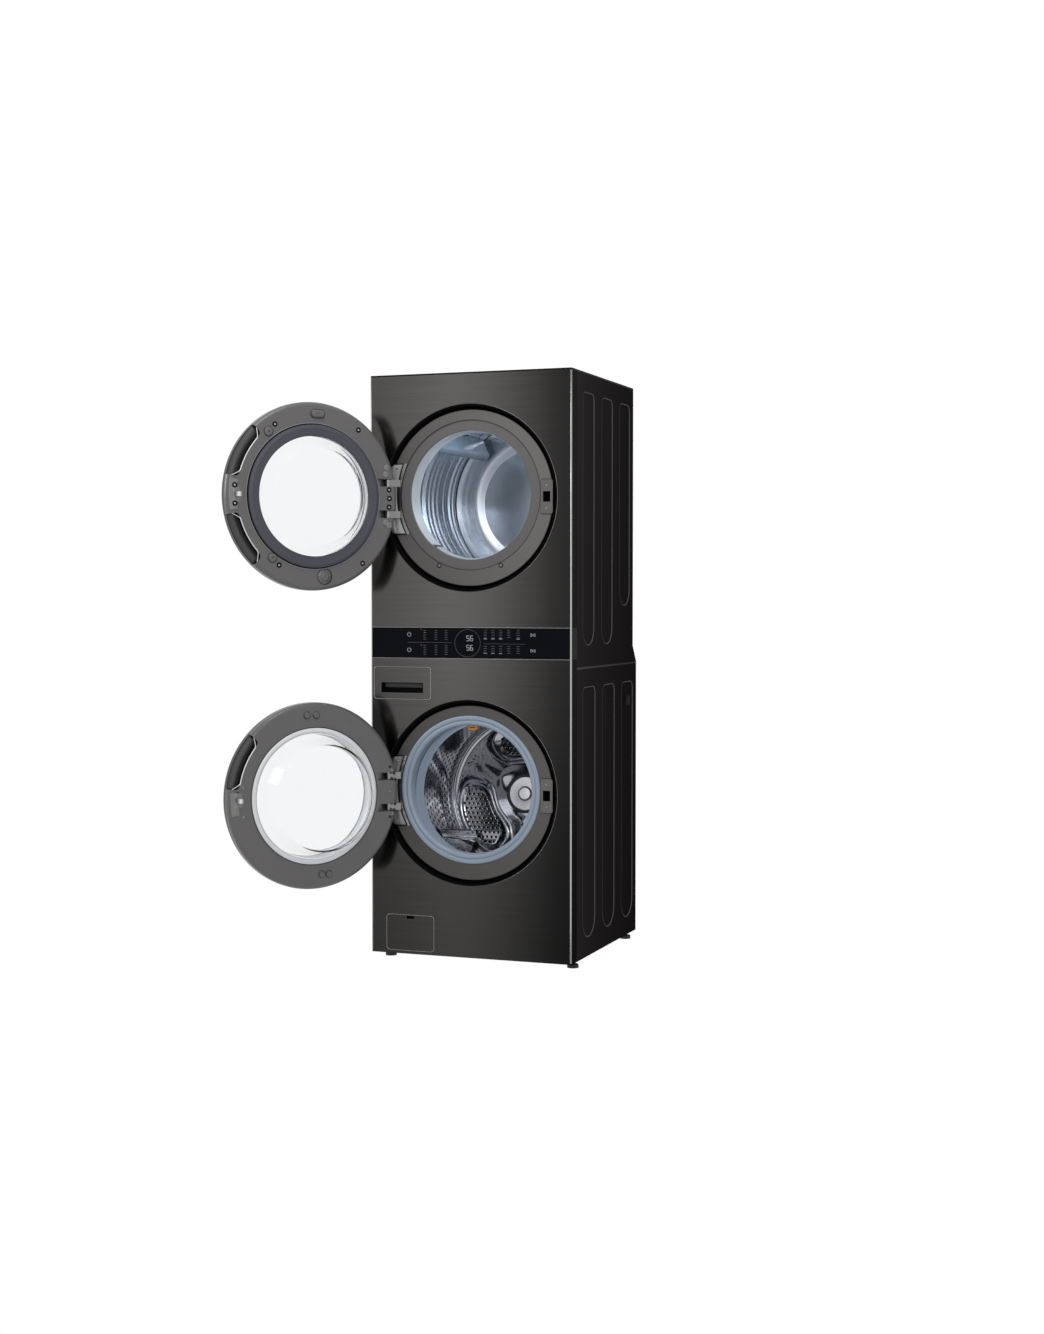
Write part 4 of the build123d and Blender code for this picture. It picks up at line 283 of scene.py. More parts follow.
# Each row: colour, roughness, size of the grain, variation, bump, and metal and effect where it isn't moulded
FINISHES = {
    "black_stainless": ((102, 100, 99), 0.13, 450, 0.24, 0.05, 1.0, brushed),
    "door_face": ((60, 59, 58), 0.20, 900, 0.14, 0.06, 1.0, brushed),
    # This finish paints the highlights along the side pockets' walls.
    "side_edge_highlight": ((106, 103, 104), 0.60, 500, 0.10, 0.10),
    "side_paint": ((161, 151, 153), 0.60, 500, 0.12, 0.12),
    "top_paint": ((24, 23, 24), 0.50, 500, 0.12, 0.12),
    "galvanised": ((150, 152, 154), 0.42, 60, 0.22, 0.03, 1.0, clouded),
    "pan_paint": ((34, 34, 35), 0.55, 400, 0.14, 0.12),
    "strip_glass": ((19, 20, 25), 0.08, 8, 0.20, 0.0, 0.0, clouded),
    "board": ((28, 70, 48), 0.45, 300, 0.25, 0.1),
    "ring_plastic": ((104, 101, 100), 0.40, 900, 0.10, 0.08),
    "bulkhead_plastic": ((94, 92, 92), 0.42, 900, 0.10, 0.08),
    "fitting_steel": ((132, 131, 131), 0.26, 90, 0.20, 0.05, 1.0, clouded),
    "latch_plastic": ((96, 94, 93), 0.42, 900, 0.12, 0.08),
    "gasket_rubber": ((146, 160, 177), 0.42, 260, 0.08, 0.08),
    "seal_rubber": ((66, 67, 77), 0.55, 500, 0.14, 0.12),
    "grey_plastic": ((120, 120, 122), 0.48, 700, 0.10, 0.08),
    "tub_plastic": ((170, 172, 174), 0.55, 300, 0.12, 0.10),
    "cast_weight": ((132, 128, 122), 0.85, 160, 0.28, 0.5),
    "motor_iron": ((70, 72, 76), 0.45, 120, 0.25, 0.1, 0.8, clouded),
    "drum_steel": ((205, 207, 212), 0.10, 40, 0.10, 0.02, 1.0, clouded),
    "lifter_steel": ((205, 207, 210), 0.14, 60, 0.12, 0.03, 1.0, clouded),
    "dryer_steel": ((190, 197, 206), 0.20, 50, 0.08, 0.02, 0.92, clouded),
    "pale_plastic": ((196, 210, 220), 0.36, 600, 0.08, 0.06),
    "black_rubber": ((26, 26, 27), 0.70, 420, 0.25, 0.2),
    "plug_plastic": ((58, 60, 64), 0.50, 500, 0.14, 0.1),
    "door_grey": ((97, 95, 95), 0.32, 900, 0.08, 0.05),
    "door_glass": ((254, 255, 255), 0.01, 30, 0.01, 0.0, 0.0, clouded),
    "door_window": ((245, 245, 247), 0.01, 30, 0.01, 0.0, 0.0, clouded),
    "baffle_plastic": ((150, 176, 198), 0.20, 60, 0.20, 0.20),
    "dark_plastic": ((40, 40, 42), 0.45, 700, 0.14, 0.08),
    # Bright brushed steel for the dryer door's screws, and for the painted highlights on edges.
    "bright_steel_and_highlight": ((170, 170, 170), 0.28, 500, 0.12, 0.05, 1.0, brushed),
    "pad_grey": ((132, 131, 130), 0.34, 900, 0.08, 0.05),
    "hub_white": ((248, 248, 252), 0.35, 60, 0.04, 0.02, 0.15, clouded),
    "glass_white": ((240, 242, 245), 0.22, 30, 0.03, 0.0, 0.0, clouded),
    "plate_paint": ((165, 164, 166), 0.30, 700, 0.08, 0.05),
    "hook_steel": ((236, 236, 236), 0.28, 90, 0.08, 0.03, 0.5, clouded),
    # A darker copy of the ring's finish: painted shade on the washer's ring.
    "washer_ring": ((78, 75, 74), 0.34, 900, 0.10, 0.06),
    "ring_steel": ((196, 202, 212), 0.38, 50, 0.06, 0.02, 0.7, clouded),
    "lining_white": ((226, 234, 242), 0.30, 50, 0.05, 0.02, 0.25, clouded),
    "rim_steel": ((124, 124, 124), 0.30, 500, 0.12, 0.05, 1.0, brushed),
    # This finish is painted shade on the floors of the finger pockets.
    "pocket_floor_shade": ((60, 60, 61), 0.45, 700, 0.14, 0.08),
    # This finish paints the highlights along the finger pockets' rims.
    "pocket_highlight_white": ((232, 232, 232), 0.30, 500, 0.06, 0.03, 0.2, moulded),
    "shadow_black": ((7, 7, 7), 0.60, 400, 0.20, 0.1),
    "amber": ((196, 134, 52), 0.40, 500, 0.12, 0.05),
    "punched_steel": ((160, 161, 166), 0.12, 40, 0.12, 0.02, 1.0, clouded),
    "lit_white": ((190, 196, 204), 0.5, 300, 0.05, 0.0),
    "dim_white": ((92, 95, 102), 0.5, 300, 0.05, 0.0),
    "lit_red": ((206, 58, 48), 0.5, 300, 0.05, 0.0),
}
looks = {name: finish(name, *row) for name, row in FINISHES.items()}
print("finishes:", len(looks))

# %% [markdown]
# ## Painted light and shade on panels, rings and plates
# Long panels never look even: on the front a soft band of light lies left of the middle and fades to the
# right edge and to the floor, the sides darken towards the back and the floor, and a thin painted highlight
# lies along the seam between the two machines. The door rings are painted lighter towards the right, their
# bright rims keep their painted highlight only on the right, and the hinge plates by the washer are painted
# darker than those by the dryer. The sheet's own tone carries this painted light and shade here, as ramps
# over Object coordinates, so it stays on the panel from every side.

# %% Tone of the panels


def own_place(tree):
    """The Object coordinates as outputs X, Y and Z."""
    return put(tree, "SeparateXYZ", {0: put(tree, "TexCoord").outputs["Object"]}).outputs


def fade(look, *ramps):
    """Multiplies a finish's colour by ramps over Object coordinates, each (axis, low, high, stops), with the
    stops as (share of the way, level)."""
    tree = looks[look].node_tree
    shader = tree.nodes["Principled BSDF"]
    colour = shader.inputs["Base Color"].links[0].from_socket
    place = own_place(tree)
    for axis, low, high, stops in ramps:
        reach = put(tree, "MapRange", {"Value": place[axis], "From Min": low, "From Max": high})
        ramp = put(tree, "ValToRGB", {"Fac": reach.outputs["Result"]})
        ramp.color_ramp.interpolation = "B_SPLINE"
        while len(ramp.color_ramp.elements) < len(stops):
            ramp.color_ramp.elements.new(0.5)
        for element, (spot, tone) in zip(ramp.color_ramp.elements, stops):
            element.position = spot
            element.color = (tone, tone, tone, 1.0)
        colour = put(tree, "Mix", {"Factor": 1.0, 6: colour, 7: ramp.outputs["Color"]}, data_type="RGBA",
                     blend_type="MULTIPLY").outputs[2]
    feed(tree, shader, {"Base Color": colour})


def matt_behind(look, depth):
    """Takes the metal off a finish over 6 mm behind a depth, where the sheet wraps round to the side."""
    tree = looks[look].node_tree
    deep = own_place(tree)["Y"]
    reach = put(tree, "MapRange", {"Value": deep, "From Min": depth, "From Max": depth + 0.006, "To Min": 1.0,
                                   "To Max": 0.0})
    feed(tree, tree.nodes["Principled BSDF"], {"Metallic": reach.outputs["Result"], SHINE: 0.0})


over_width = [(0.0, 0.56), (0.25, 0.80), (0.44, 1.0), (0.65, 0.70), (0.85, 0.30), (0.985, 0.16),
              (1.0, 0.20)]
over_height = [(0.0, 0.36), (0.25, 0.55), (0.5, 0.95), (0.75, 1.0), (1.0, 1.0)]
over_depth = [(0.0, 1.0), (0.25, 0.75), (1.0, 0.30)]
over_side = [(0.0, 0.70), (0.5, 0.75), (1.0, 1.0)]
over_seam_highlight = [(0.0, 0.12), (0.3, 0.12), (0.5, 1.0), (0.7, 0.12), (1.0, 0.12)]
over_ring = [(0.0, 0.45), (0.25, 0.66), (0.55, 0.80), (0.8, 1.0), (1.0, 1.0)]
over_rim = [(0.0, 0.03), (0.50, 0.05), (0.70, 1.0), (1.0, 0.8)]
over_plates = [(0.0, 0.36), (1.0, 1.0)]
to_the_hook = [(0.0, 1.0), (0.35, 1.0), (0.55, 0.25), (1.0, 0.20)]
fade("black_stainless", ("X", -HALF_WIDTH, HALF_WIDTH, over_width), ("Z", PAN, TOP, over_height))
matt_behind("black_stainless", FRONT + 0.001)
fade("side_paint", ("Y", FRONT, -FRONT, over_depth), ("Z", PAN, TOP, over_side),
     ("Z", SEAM - 0.006, SEAM + 0.006, over_seam_highlight))
for look, stops in (("ring_plastic", over_ring), ("washer_ring", over_ring), ("rim_steel", over_rim)):
    fade(look, ("X", -RING_R, RING_R, stops))
fade("plate_paint", ("Z", WASHER_RING + 0.1, DRYER_RING - 0.1, over_plates))
# The door fittings are white at the hook and darker further back.
fade("hook_steel", ("Y", -0.824, -0.798, to_the_hook))
print("panel tones set")

# %% [markdown]
# ## Dressing the solid nodes
# Every node gets the finish of its real material. A node's mesh stays as it is; only its material changes.

# %% Finishes for the solid nodes
OWN_LOOKS = {
    "dryer_front_bulkhead": "bulkhead_plastic", "dryer_baffles": "baffle_plastic",
    "washer_door_surround": "washer_ring", "washer_door_fittings": "hook_steel",
    "dryer_door_fittings": "hook_steel",
}
for name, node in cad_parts.items():
    for place in node.material_slots:
        place.material = looks[OWN_LOOKS.get(name, place.material.name.split(".")[0])]
print("dressed", len(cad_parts), "nodes")

# %% [markdown]
# ## From arrays to pieces
# A piece is a grid of points, or several such grids. Neighbouring points become quads, doubled points at
# poles and seams are merged, and the faces are turned outwards. Then the piece rides on its body. A grid
# may carry a map for patterns that follow the surface, and a mask that says where they show.

# %% The grid helper


def skin(name, points, slot, look=None, body="cabinet", rows=True, columns=True, hides=(), spread=None,
         mask=None):
    """Makes a mesh of quads from points of shape (rows, columns, 3), or from several such grids. Rows and
    columns say which directions join their last line to their first. Spread gives the flat place of each
    corner, with one more row than the grid where rows close. The slot's own finish is used where no other
    look is named."""
    grids = np.asarray(points)
    grids = grids.reshape(-1, *grids.shape[-3:])
    count, high, wide = grids.shape[:3]
    index = np.arange(count * high * wide).reshape(count, high, wide)
    flat = np.arange(count * (high + rows) * (wide + columns)).reshape(count, high + rows, wide + columns)
    if rows:
        index = np.concatenate([index, index[:, :1]], axis=1)
    if columns:
        index = np.concatenate([index, index[:, :, :1]], axis=2)
    quads = [join(i[:, :-1, :-1], i[:, 1:, :-1], i[:, 1:, 1:], i[:, :-1, 1:]).reshape(-1, 4)
             for i in (index, flat)]
    mesh = bpy.data.meshes.new(name)
    mesh.from_pydata(grids.reshape(-1, 3).tolist(), [], quads[0].tolist())
    if spread is not None:
        layer = mesh.uv_layers.new(name="UVMap")
        layer.data.foreach_set("uv", spread.reshape(-1, 2)[quads[1].ravel()].ravel())
    if mask is not None:
        shown = mesh.attributes.new("punched", "FLOAT", "POINT")
        shown.data.foreach_set("value", mask.ravel())
    shape = bmesh.new()
    shape.from_mesh(mesh)
    bmesh.ops.remove_doubles(shape, verts=shape.verts, dist=1e-6)
    bmesh.ops.recalc_face_normals(shape, faces=shape.faces)
    shape.to_mesh(mesh)
    shape.free()
    mesh.shade_smooth()
    mesh.materials.append(looks[look or slot])
    piece = bpy.data.objects.new(name, mesh)
    scene.collection.objects.link(piece)
    if body:
        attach(piece, body)
    if hides:
        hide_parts(*hides)
    print(name, "faces", len(mesh.polygons))
    return piece


def smooth(value):
    """An even start and stop between nought and one: s * s * (3 - 2 * s)."""
    share = np.clip(value, 0, 1)
    return share * share * (3 - 2 * share)


def mm(*pairs):
    """Rows of millimetres as an array in metres."""
    return np.array(pairs, float) / 1000


def eased(corners, times=2):
    """Rounds a closed profile by cutting corners: each side gives its points at 1/4 and 3/4."""
    for _ in range(times):
        after = np.roll(corners, -1, axis=0)
        corners = np.stack([0.75 * corners + 0.25 * after, 0.25 * corners + 0.75 * after], axis=1)
        corners = corners.reshape(-1, corners.shape[-1])
    return corners


def knob(profile, rays=14, stretch=0.0):
    """Turns a profile of (radius, depth) about the y axis, and parts its halves by a stretch along x."""
    angle = circle(rays)[:, None]
    radius, depth = np.asarray(profile, float).T[:, None, :]
    side = radius * np.cos(angle) + stretch * np.sign(np.cos(angle)) * (radius > 0)
    return join(side, depth, radius * np.sin(angle))


def capped(points):
    """Closes a swept tube: each end gets a row drawn together at its middle."""
    first = np.broadcast_to(points[:1].mean(axis=1, keepdims=True), points[:1].shape)
    last = np.broadcast_to(points[-1:].mean(axis=1, keepdims=True), points[-1:].shape)
    return np.concatenate([first, points, last])


def placed(shape, places):
    """One copy of a small shape at each place, stacked in front."""
    return shape[None] + np.asarray(places, float)[:, None, None, :]


def around(height, depth, spots):
    """Places on a door or ring from (radius in mm, angle in degrees) pairs."""
    radius, angle = np.array(spots, float).T
    angle = np.radians(angle)
    return join(radius / 1000 * np.cos(angle), FRONT + depth, height + radius / 1000 * np.sin(angle))


screw_head = knob(mm((0, -0.7), (1.3, -0.7), (1.5, -1.8), (2.9, -1.7), (3.8, -0.9), (3.9, 0.5), (0, 0.5)))
# This flat disc is laid under screws and into holes as painted shade.
screw_seat = knob(mm((0, -0.3), (8.4, -0.3), (9.0, 0.4), (0, 0.4)), 18)
boss = knob(eased(mm((0, -5.4), (9.5, -5.4), (13.2, -4.2), (15.0, 0.6), (0, 0.6)), 1), 24)
small_boss = knob(eased(mm((0, -2.5), (7.0, -2.5), (9.2, -2.0), (10.2, 0.6), (0, 0.6)), 1), 20)
print("helpers ready")

# %% [markdown]
# ## The washer's door boot
# A rubber sleeve joins the front to the floating tub. It is a closed profile carried round the mouth: two
# soft beads in front, a deep sleeve, and a back end that follows the leaning tub. Since the tub floats, the
# boot lies between the two bodies and rides on neither.

# %% Door boot


def door_boot(rays=132):
    """Front points turn about the level mouth axis and back points about the leaning axis. The share of the
    leaning place grows smoothly with depth, so the sleeve passes from one to the other."""
    profile = eased(mm(
        (237.3, 9.5), (236.8, 5.0), (232.5, 3.4), (226.5, 3.8), (222.6, 6.4), (221.6, 8.8), (220.4, 6.6),
        (215.5, 4.6), (209.6, 6.6), (206.4, 11), (205.0, 18), (204.9, 30), (206.3, 44), (211, 56),
        (218.5, 70), (224, 82), (225.6, 90), (225.6, 100), (228.6, 100), (228.6, 88), (227, 80), (221.5, 68),
        (214.5, 56), (209.8, 44), (208.4, 32), (208.6, 20), (213, 14.2), (225, 12.4), (236.8, 11.8)))
    radius, depth = profile.T
    angle = circle(rays)[:, None]
    share = smooth((depth - 0.034) / 0.044)[None, :, None]
    level = turned(profile, WASHER_MOUTH, rays)
    return level * (1 - share) + leaned(radius, angle, depth - TUB_START) * share


boot = skin("door_boot", door_boot(), "gasket_rubber", body=None, hides=["door_gasket"])
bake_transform(boot)

# %% [markdown]
# Behind the boot a smooth liner leads on to the drum's mouth. It belongs to the tub.

# %% Boot liner


def on_axis(profile, rays=96):
    """Turns a profile of (radius, distance along) pairs about the leaning axis."""
    angle = circle(rays)[:, None]
    return leaned(profile[:, 0], angle, profile[:, 1])


liner = mm((221.2, 22), (221.2, 86), (220.2, 88), (217.6, 84), (216.8, 60), (217.4, 36), (219.4, 22))
skin("boot_liner", on_axis(eased(liner)), "gasket_rubber", body="tub")

# %% [markdown]
# The spray nozzle at the top of the boot is a small amber moulding.

# %% Spray nozzle
nozzle = knob(eased(mm((0, 0), (7, 0), (9, 4), (9, 16), (0, 16)), 1), 16, 0.008)
nozzle_at = [(0.004, FRONT + 0.016, WASHER_MOUTH + 0.1985)]
skin("spray_nozzle", placed(nozzle, nozzle_at), "gasket_rubber", "amber", columns=False)

# %% [markdown]
# ## The washer's drum
# The drum is pressed from bright stainless sheet: a punched wall, and a back with three punched fields
# between smooth spokes. Real holes would cost millions of faces, so the holes are a pattern that follows the
# surface, painted dark for the shade seen through them, and only the pressed shape is geometry.

# %% Punched holes as a node group


def holes_group():
    """Staggered round holes on a flat map: every other row shifts by half a step, and the mask is one where
    the distance to the nearest centre is under the hole's share of the step."""
    group, given, closing = new_group(
        "punched_holes", {"Map": "Vector", "Steps": "Float", "Share": "Float", "Shown": "Float"},
        {"Mask": "Float"})

    def step(operation, *values):
        return work(group, operation, *values)

    flat = put(group, "SeparateXYZ", {0: given["Map"]}).outputs
    row = step("MULTIPLY", flat["Y"], given["Steps"])
    shift = step("MULTIPLY", step("MODULO", step("ABSOLUTE", step("FLOOR", row)), 2.0), 0.5)
    column = step("ADD", step("MULTIPLY", flat["X"], given["Steps"]), shift)
    across = step("SUBTRACT", step("FRACT", column), 0.5)
    along = step("SUBTRACT", step("FRACT", row), 0.5)
    far = step("SQRT", step("ADD", step("MULTIPLY", across, across), step("MULTIPLY", along, along)))
    edge = step("MULTIPLY", step("SUBTRACT", given["Share"], far), 9.0)
    mask = step("MULTIPLY", step("MINIMUM", step("MAXIMUM", edge, 0.0), 1.0), given["Shown"])
    feed(group, closing, {"Mask": mask})
    return group


def punch(look, steps, share):
    """Darkens a finish inside the holes as painted shade and sinks them, where the piece's own mask says they
    are.
    """
    tree = looks[look].node_tree
    shader = tree.nodes["Principled BSDF"]
    flat = put(tree, "UVMap", uv_map="UVMap").outputs["UV"]
    shown = put(tree, "Attribute", attribute_name="punched").outputs["Fac"]
    holes = put(tree, "Group", {"Map": flat, "Shown": shown, "Steps": steps, "Share": share},
                node_tree=holes_group())
    mask = holes.outputs["Mask"]
    plain = shader.inputs["Base Color"].links[0].from_socket
    dark = put(tree, "Mix", {"Factor": mask, 6: plain, 7: (0.012, 0.012, 0.014, 1.0)}, data_type="RGBA")
    sink = put(tree, "Bump", {"Strength": 0.5, "Distance": 0.002, "Height": mask}, invert=True)
    feed(tree, shader, {"Base Color": dark.outputs[2], "Normal": sink.outputs["Normal"]})


punch("punched_steel", 62.0, 0.31)
print("punched steel ready")

# %% [markdown]
# The drum's profile is turned about its leaning axis. On the back, each field is a rounded shape in angle
# and radius; its edge rises to a ridge and its middle sinks a little, as the press leaves it.

# %% Drum shell
DRUM_R = 0.272
FIELD_R, FIELD_HALF = 0.184, 0.068
FIELD_TURN, SPOKE_TURN, FIELD_SPAN = 89, 29, 43
SEAM_AT, SEAM_HALF, BAND_HALF = 0.285, 0.006, 0.163
MAP_SCALE = 0.72


def to_nearest(angle, first):
    """The angle from the nearest of three directions a third of a turn apart, the first in degrees."""
    return (angle - np.radians(first) + TURN / 6) % (TURN / 3) - TURN / 6


def field_share(radius, angle):
    """One in the middle of a punched field and nought at its edge: 1 - (a^3 + b^3)^(1/3), with a and b the
    angle and the radius measured from the field's middle in half-widths."""
    a = np.abs(to_nearest(angle, FIELD_TURN)) / np.radians(FIELD_SPAN)
    b = np.abs(radius - FIELD_R) / FIELD_HALF
    return 1 - (a ** 3 + b ** 3) ** (1 / 3)


def drum_shell(rays=288):
    """Goes in over the mouth's roll, along the wall, over the back to the hub, and returns 1 mm outside.
    The back is lifted by the field ridges and by a cone towards the hub."""
    mouth = mm((230.6, 97), (230.6, 92.5), (232.5, 91.2), (264, 91.2), (269, 93), (272, 98))
    side = join(DRUM_R, np.linspace(0.104, 0.456, 44))
    corner = mm((271.4, 462), (268.5, 466.5), (264, 468.8))
    back = join(np.linspace(0.262, 0.022, 74), 0.4693)
    outside = mm((22, 470.4), (262, 470.4), (270, 468), (273, 460), (273, 96), (270, 91), (264, 90.2),
                 (230, 90.2))
    profile = np.concatenate([mouth, side, corner, back, outside])
    angle = circle(rays)[:, None]
    radius, along = profile.T[:, None, :]
    first = len(mouth) + len(side) + len(corner)
    place = np.arange(len(profile))
    on_side = (place >= len(mouth)) & (place < len(mouth) + len(side))
    on_back = (place >= first) & (place < first + len(back))
    share = field_share(radius, angle)
    ridge = 0.0090 * np.exp(-((share - 0.09) / 0.13) ** 2) - 0.004 * np.clip((share - 0.25) / 0.2, 0, 1)
    between = to_nearest(angle, SPOKE_TURN)
    spoke = 0.011 * np.exp(-(between * radius / 0.030) ** 2) * np.clip((0.245 - radius) / 0.06, 0, 1)
    cone = 0.0085 * np.clip((0.114 - radius) / 0.050, 0, 1)
    fold = 0.004 * np.exp(-(((radius - 0.262) / 0.006) ** 2))
    grow = smooth((radius - 0.064) / 0.040)
    along = along - on_back * (np.maximum(ridge, spoke) * grow + cone + fold)
    from_seam = np.abs(profile[:, 1] - SEAM_AT)
    band = (from_seam < BAND_HALF) & (from_seam > SEAM_HALF)
    mask = on_side * band + on_back * np.clip((share - 0.24) / 0.04, 0, 1)
    turn = np.linspace(0, TURN, rays + 1)[:, None]
    flat_x = np.where(on_back, radius * np.cos(turn), turn * DRUM_R * MAP_SCALE)
    flat_y = np.where(on_back, radius * np.sin(turn), profile[:, 1][None, :] * MAP_SCALE)
    spread = join(flat_x, flat_y)
    spread = np.concatenate([spread, spread[:, :1]], axis=1)
    return leaned(radius, angle, along), spread, mask


points, spread, mask = drum_shell()
skin("drum_shell", points, "drum_steel", "punched_steel", "washer_basket", hides=["washer_drum"],
     spread=spread, mask=mask)

# %% [markdown]
# A dark ring of painted shade sets the hub disc off from the drum's back, and a narrow one lies round its
# cap.

# %% Hub rings
hub_ring = eased(mm((57, 459.5), (57, 455.2), (60, 454), (66, 455.5), (68, 460)))
hub_cover = mm((0, 452.5), (18, 452.5), (19.6, 453.4), (19.8, 456.3), (53.5, 456.3), (56.2, 457.6),
               (56.6, 459), (0, 459))
cap_ring = eased(mm((20.2, 457), (20.2, 454.8), (22.5, 454), (25, 455.6), (25.5, 457.2)))
skin("hub_ring", on_axis(hub_ring), "lifter_steel", "dark_plastic", "washer_basket")
skin("hub_cover", on_axis(hub_cover), "lifter_steel", "hub_white", "washer_basket", columns=False)
skin("cap_ring", on_axis(cap_ring), "lifter_steel", "dark_plastic", "washer_basket")

# %% [markdown]
# ## The washer's suspension
# Two coil springs hang the tub from the deck, and two dampers stand between it and the floor pan. The tub
# floats, so each lies between cabinet and tub and rides on neither body. A coil is a circle carried along a
# helix; a damper is a profile carried along its slanting line.

# %% Springs and dampers
SPRING_X, SPRING_Y = 0.205, FRONT + 0.430
SPRING_FOOT, SPRING_TOP = 0.7900, 0.9380
COIL_R, WIRE_R = 0.0152, 0.0026
COIL_TURNS, COIL_STEPS = 9, 240
DAMPER_Y = FRONT + 0.330
DAMPER_FOOT, DAMPER_TOP = (0.262, 0.090), (0.185, 0.262)


def coil(side):
    """A round wire along x = R cos(a), y = R sin(a), rising at an even rate for nine turns."""
    angle = np.linspace(0, COIL_TURNS * TURN, COIL_STEPS)[:, None]
    bend = circle(7)[None, :]
    reach = COIL_R + WIRE_R * np.cos(bend)
    rise = np.linspace(SPRING_FOOT + 0.0028, SPRING_TOP - 0.0028, COIL_STEPS)[:, None]
    return join(side * SPRING_X + reach * np.cos(angle), SPRING_Y + reach * np.sin(angle),
                rise + WIRE_R * np.sin(bend))


def damper(side):
    """A rod of 6 mm and a tube of 17 mm radius in one profile of (share of the way, radius), swept from the
    tub's end to the floor's end."""
    top, foot = (np.array([side * x, DAMPER_Y, z]) for x, z in (DAMPER_TOP, DAMPER_FOOT))
    way = np.array([0, 0, 0.25, 0.45, 0.45, 0.47, 0.6, 0.8, 0.98, 1, 1])[:, None, None]
    thick = np.array([0, 6, 6, 6, 15, 17, 17, 17, 17, 15, 0])[:, None, None] / 1000
    along = (foot - top) / np.linalg.norm(foot - top)
    across = np.array([along[2], 0, -along[0]])
    bend = circle(18)[None, :, None]
    return top + way * (foot - top) + thick * (np.cos(bend) * across + np.sin(bend) * np.array([0, 1.0, 0]))


springs = skin("tub_springs", [capped(coil(side)) for side in (-1, 1)], "fitting_steel", "galvanised", None,
               rows=False, hides=["tub_suspension"])
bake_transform(springs)
dampers = skin("tub_dampers", [damper(side) for side in (-1, 1)], "fitting_steel", "black_rubber", None,
               rows=False, hides=["tub_suspension"])
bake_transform(dampers)

# %% [markdown]
# ## The dryer's drum
# Its wall is rolled steel with ribs pressed round it, and the still back wall carries one broad bright ring.
# Both are profiles turned about the level axis.

# %% Dryer drum and back ring
WALL_R, RIB_HALF, RIB_RISE = 0.286, 0.0075, 0.0042


def dryer_wall():
    """The inner wall follows r = wall - rib, where a rib is a raised cosine round each rib's depth."""
    depth = np.linspace(0.072, 0.588, 260)
    ribs = mm(105, 128, 168, 252, 276, 330, 361, 400, 436, 455, 484, 503, 541, 570)
    near = np.clip(np.abs(depth[:, None] - ribs[None, :]) / RIB_HALF, 0, 1)
    rise = (RIB_RISE * 0.5 * (1 + np.cos(np.pi * near))).sum(axis=1)
    wall = join(WALL_R - rise, depth)
    front = mm((211.2, 66.4), (211.2, 67.4), (276, 67.6), (284, 69))
    outside = mm((287.2, 588), (287.2, 72), (284, 66.8), (278, 66.2))
    return np.concatenate([front, wall, outside])


back_ring = eased(mm((184, 611.8), (188, 610.4), (196, 606), (205, 601.6), (213, 598.8), (221, 598.4),
                     (228, 599.8), (226, 601.4), (214, 603.4), (200, 609), (188, 612.2)))
skin("dryer_wall", turned(dryer_wall(), DRYER_MOUTH, 144), "dryer_steel", body="dryer_basket",
     hides=["dryer_drum"])
skin("back_ring", turned(back_ring, DRYER_MOUTH, 144), "dryer_steel", "ring_steel")

# %% [markdown]
# The mouth's sleeve has a bright ribbed lining all round, but for the foot, where the lint screen sits.

# %% Mouth lining
RIB_PITCH = 0.014
lining_depth = np.linspace(0.014, 0.083, 70)
lining_in = join(0.2032 + 0.0007 * np.cos(lining_depth * TURN / RIB_PITCH), lining_depth)
lining = np.concatenate([lining_in, mm((204.4, 83), (204.4, 14))])
lining_arc = turned(lining, DRYER_MOUTH, 120, np.radians(-50), np.radians(230))
skin("mouth_lining", capped(lining_arc), "ring_plastic", "lining_white", rows=False)

# %% [markdown]
# ## Rings round the doors
# Each moulded ring has a deep groove where the door's rim lands, painted shadow black, and small screws hold
# the ring, the hinge plate and the latch plate. The pockets in the latch plates are painted shadow black too,
# and a dark disc under each of the ring's screws is painted shade.

# %% Ring grooves, hinge plates and screws


def tray(x0, x1, z0, z1, front, back, wall):
    """An open box: loops of four corners in mm, from the outside back to the outside front, over the edge and
    down to the floor. Both ends are drawn together at the middle."""
    corners = np.array([(x0, z0), (x1, z0), (x1, z1), (x0, z1)])
    middle = corners.mean(axis=0)
    inward = np.sign(middle - corners) * wall
    loops = [(middle + 0 * corners, back), (corners, back), (corners, front), (corners + inward, front),
             (corners + inward, back - wall), (middle + 0 * corners, back - wall)]
    rows = [join(c[:, 0], FRONT * 1000 + d, c[:, 1]) for c, d in loops]
    return np.stack(rows) / 1000


COVER_HALF, COVER_STRAIGHT, COVER_CORNER = 0.112, 0.100, 0.012
COVER_LEFT, COVER_REACH = -0.271, 0.249


def hinge_cover(height, mouth):
    """A thin plate by the mouth: its right edge is x = -sqrt(R^2 - z^2) about the mouth, and its left
    corners are rounded by 12 mm."""
    rise = np.linspace(-COVER_HALF, COVER_HALF, 41)
    bend = np.clip((np.abs(rise) - COVER_STRAIGHT) / COVER_CORNER, 0, 1)
    left = COVER_LEFT + COVER_CORNER * (1 - np.sqrt(1 - bend ** 2))
    right = -np.sqrt(COVER_REACH ** 2 - (rise + height - mouth) ** 2)
    across = join(left, right, right, left)
    deep = FRONT + np.array([0.0030, 0.0030, 0.0022, 0.0022])
    return join(across, deep, height + rise[:, None])


